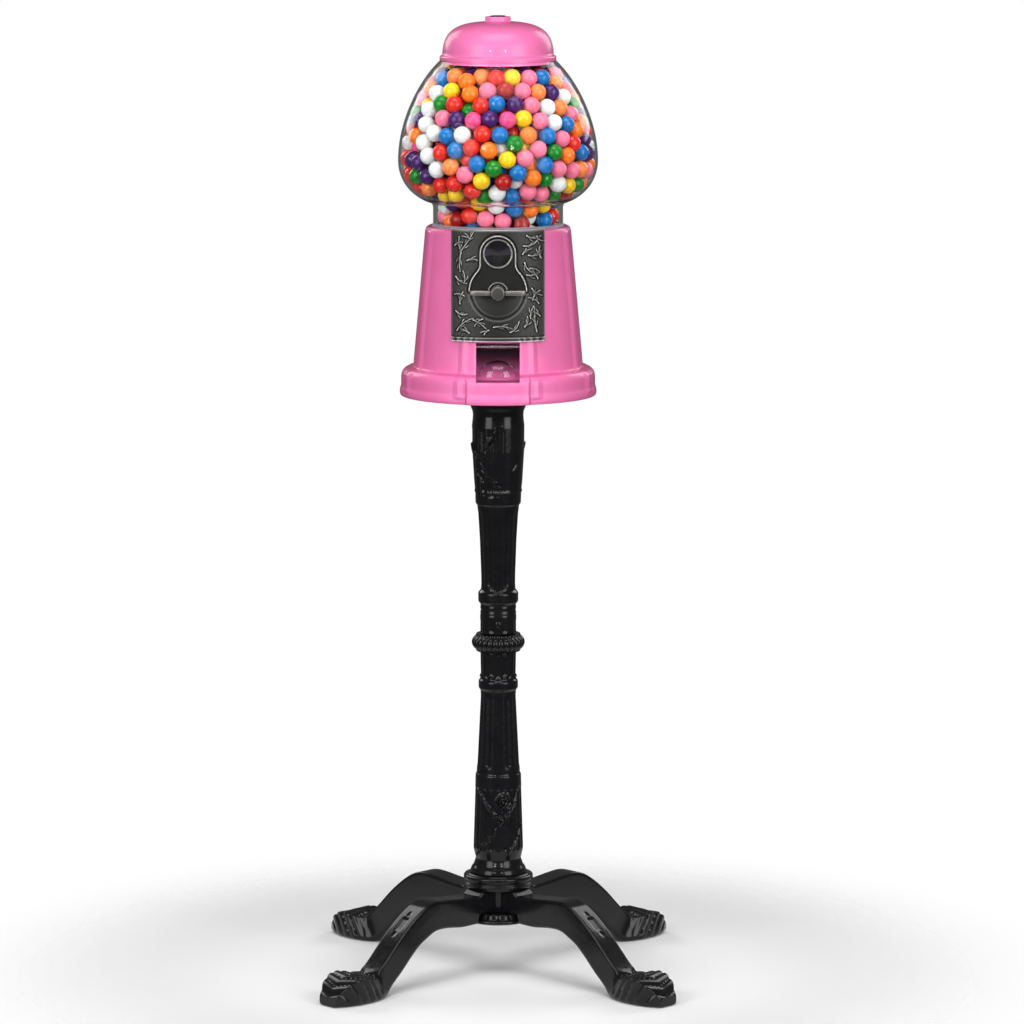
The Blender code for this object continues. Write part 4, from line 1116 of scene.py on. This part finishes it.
def leg_points(angle):
    """Rows of points for one leg."""
    rows = []
    for top_x, top_z, under_x, under_z, half in leg_sections(1.5):
        top, under = np.array((top_x, top_z)), np.array((under_x, under_z))
        depth = np.linalg.norm(under - top)
        down = (under - top) / depth
        ring, normals = leg_ring(half, depth)
        centre = top + ring[:, 1:] * down
        outward = normals[:, 1:] * down
        move = foot_relief(centre[:, 0], ring[:, 0], ring[:, 1], centre[:, 1])
        upward = normals[:, 1] < -0.9
        inside_slot = upward * ramp((4.6 - np.abs(ring[:, 0])) / 0.8)
        along = ramp((top_x - SLOT_LOW) / 1.2) * ramp((SLOT_HIGH - top_x) / 1.2)
        dimple = bell(np.hypot(ring[:, 0], top_x - SLOT_LOW + 4.0), 1.8)
        dimple += bell(np.hypot(ring[:, 0], top_x - SLOT_HIGH - 3.0), 1.8)
        move = move - 0.9 * inside_slot * along - 0.8 * dimple * upward
        x = centre[:, 0] + outward[:, 0] * move
        z = np.maximum(centre[:, 1] + outward[:, 1] * move, 0.0)
        y = ring[:, 0] + normals[:, 0] * move
        rows.append(np.stack((x, y, z), axis=-1))
    turn = np.array(Matrix.Rotation(math.radians(angle), 3, "Z"))
    return np.array(rows) @ turn.T


def make_legs(iron):
    for name, angle in LEG_ANGLES.items():
        points = leg_points(angle)
        rows, columns = points.shape[:2]
        size = rows * columns
        faces = grid_faces(rows, columns)
        faces += [tuple(range(columns)), tuple(range(size - 1, size - columns - 1, -1))]
        leg = solid(f"leg_{name}_cast", points.reshape(-1, 3), faces, 45.0)
        show_iron(leg, iron, f"leg_{name}")


# Pieces whose CAD shape is already right


def restyle(finish, *names):
    for name in names:
        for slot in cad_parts[name].material_slots:
            slot.material = finish


# Studio, in metres and watts

CAMERA_PLACE, CAMERA_DOWN = (0.0137, -4.8, 1.15), 8.156  # degrees below the level
CAMERA_LENS, CAMERA_SENSOR = 171.86, 36.0
AMBIENT = 0.12
FLOOR_FADE = (0.22, 0.6)


def make_camera():
    data = bpy.data.cameras.new("camera")
    data.lens = CAMERA_LENS
    data.sensor_width = CAMERA_SENSOR
    camera = link("camera", data)
    camera.location = CAMERA_PLACE
    camera.rotation_euler = (math.radians(90 - CAMERA_DOWN), 0, 0)
    bpy.context.scene.camera = camera


def softbox(name, place, target, width, height, watts):
    data = bpy.data.lights.new(name, "AREA")
    data.shape = "RECTANGLE"
    data.size, data.size_y = width, height
    data.energy = watts
    lamp = link(name, data)
    lamp.location = place
    lamp.rotation_euler = (Vector(target) - Vector(place)).to_track_quat("-Z", "Y").to_euler()


def make_floor():
    """A pale disc that fades out into the white surroundings."""
    floor = cylinder("floor", 1500.0, -0.2, -0.4, 96)
    made = plain("pale floor", (0.95, 0.95, 0.95), 0.8)
    tree = made.node_tree
    place = tree.nodes.new("ShaderNodeTexCoord")
    distance = tree.nodes.new("ShaderNodeVectorMath")
    distance.operation = "LENGTH"
    fade = tree.nodes.new("ShaderNodeMapRange")
    fade.inputs["From Min"].default_value, fade.inputs["From Max"].default_value = FLOOR_FADE
    fade.interpolation_type = "SMOOTHSTEP"
    tree.links.new(place.outputs["Object"], distance.inputs[0])
    tree.links.new(distance.outputs["Value"], fade.inputs["Value"])
    see_through(made, fade.outputs["Result"])
    floor.data.materials.append(made)


def make_studio():
    scene = bpy.context.scene
    scene.view_settings.view_transform = "Standard"
    world = bpy.data.worlds.new("studio")
    scene.world = world
    world.use_nodes = True
    tree = world.node_tree
    tree.nodes.clear()
    path = tree.nodes.new("ShaderNodeLightPath")
    seen, lit = tree.nodes.new("ShaderNodeBackground"), tree.nodes.new("ShaderNodeBackground")
    for background, strength in ((lit, AMBIENT), (seen, 1.0)):
        background.inputs["Color"].default_value = WHITE
        background.inputs["Strength"].default_value = strength
    out = tree.nodes.new("ShaderNodeOutputWorld")
    mix_shaders(tree, path.outputs["Is Camera Ray"], lit, seen, out)
    middle = (0.0, 0.0, 0.5)
    for side in (-1, 1):
        softbox(f"front_{side}", (side * 1.75, -1.9, 1.2), middle, 1.3, 2.0, 36)
        softbox(f"spark_{side}", (side * 0.75, -2.6, 1.5), (0, 0, 0.8), 0.22, 0.22, 7)
        softbox(f"rear_{side}", (side * 1.7, 1.9, 1.8), middle, 1.2, 1.6, 20)
    softbox("top", (0.0, -0.7, 2.6), (0, 0, 0.6), 1.6, 1.2, 22)
    make_floor()


def main():
    pink, iron, pewter = powder_coat(), enamel_iron(), antique_pewter()
    steel = metal("zinc plated steel", (0.62, 0.62, 0.60), 0.28, 0.45)
    lavender = (0.40, 0.375, 0.455)
    alloy = moulded("matte cast alloy", lavender, 0.55, 0.75)
    sooty = metal("dark oiled steel", (0.10, 0.10, 0.10), 0.4, 0.6)
    brass = metal("turned brass", (0.78, 0.60, 0.28), 0.25, 0.4)
    bright = metal("bright pin steel", (0.72, 0.72, 0.71), 0.18, 0.3)
    white = moulded("white plastic", (0.85, 0.85, 0.82), 0.35, 0.5)
    rubber = moulded("grey rubber", lavender, 0.55, 0.75)
    black = moulded("black lock", (0.02, 0.02, 0.02), 0.25, 0.4)
    glass = clear("clear glass", (0.98, 1.0, 0.985), 1.15, 0.1, 0.01, 0.02)
    plastic = clear("clear plastic", (0.99, 0.985, 0.99), 1.4, 0.5, 0.03, 0.05)

    make_lid(pink)
    make_lock(black)
    make_globe(glass)
    make_gumballs()
    make_body(pink)
    make_hopper(alloy)
    make_coin_plate(pewter)
    make_handle(pewter)
    make_coin_wheel(sooty)
    make_door(plastic)
    make_columns(iron)
    make_collar(iron)
    make_hub(iron)
    make_hub_plate(iron)
    make_legs(iron)

    restyle(passage_painted_shade(), "chute")
    restyle(white, "gumball_wheel")
    restyle(rubber, "globe_gasket")
    restyle(brass, "shaft_bushing", "drive_pinion")
    restyle(bright, "door_pin", "pawl_pin", "pawl_spring", "handle_shaft")
    restyle(steel, "ball_guard", "centre_rod", "tie_rod", "tie_rod_washer", "tie_rod_nut")
    restyle(steel, "rod_coupling_nut", "shaft_nut", "bank_bottom_plate", "lock_clip")
    restyle(sooty, "mech_bracket", "ratchet_pawl")
    for corner in ("left_low", "left_high", "right_low", "right_high"):
        restyle(steel, f"plate_screw_{corner}")
    for leg in LEG_ANGLES:
        restyle(steel, f"leg_screw_{leg}")
    make_camera()
    make_studio()


main()
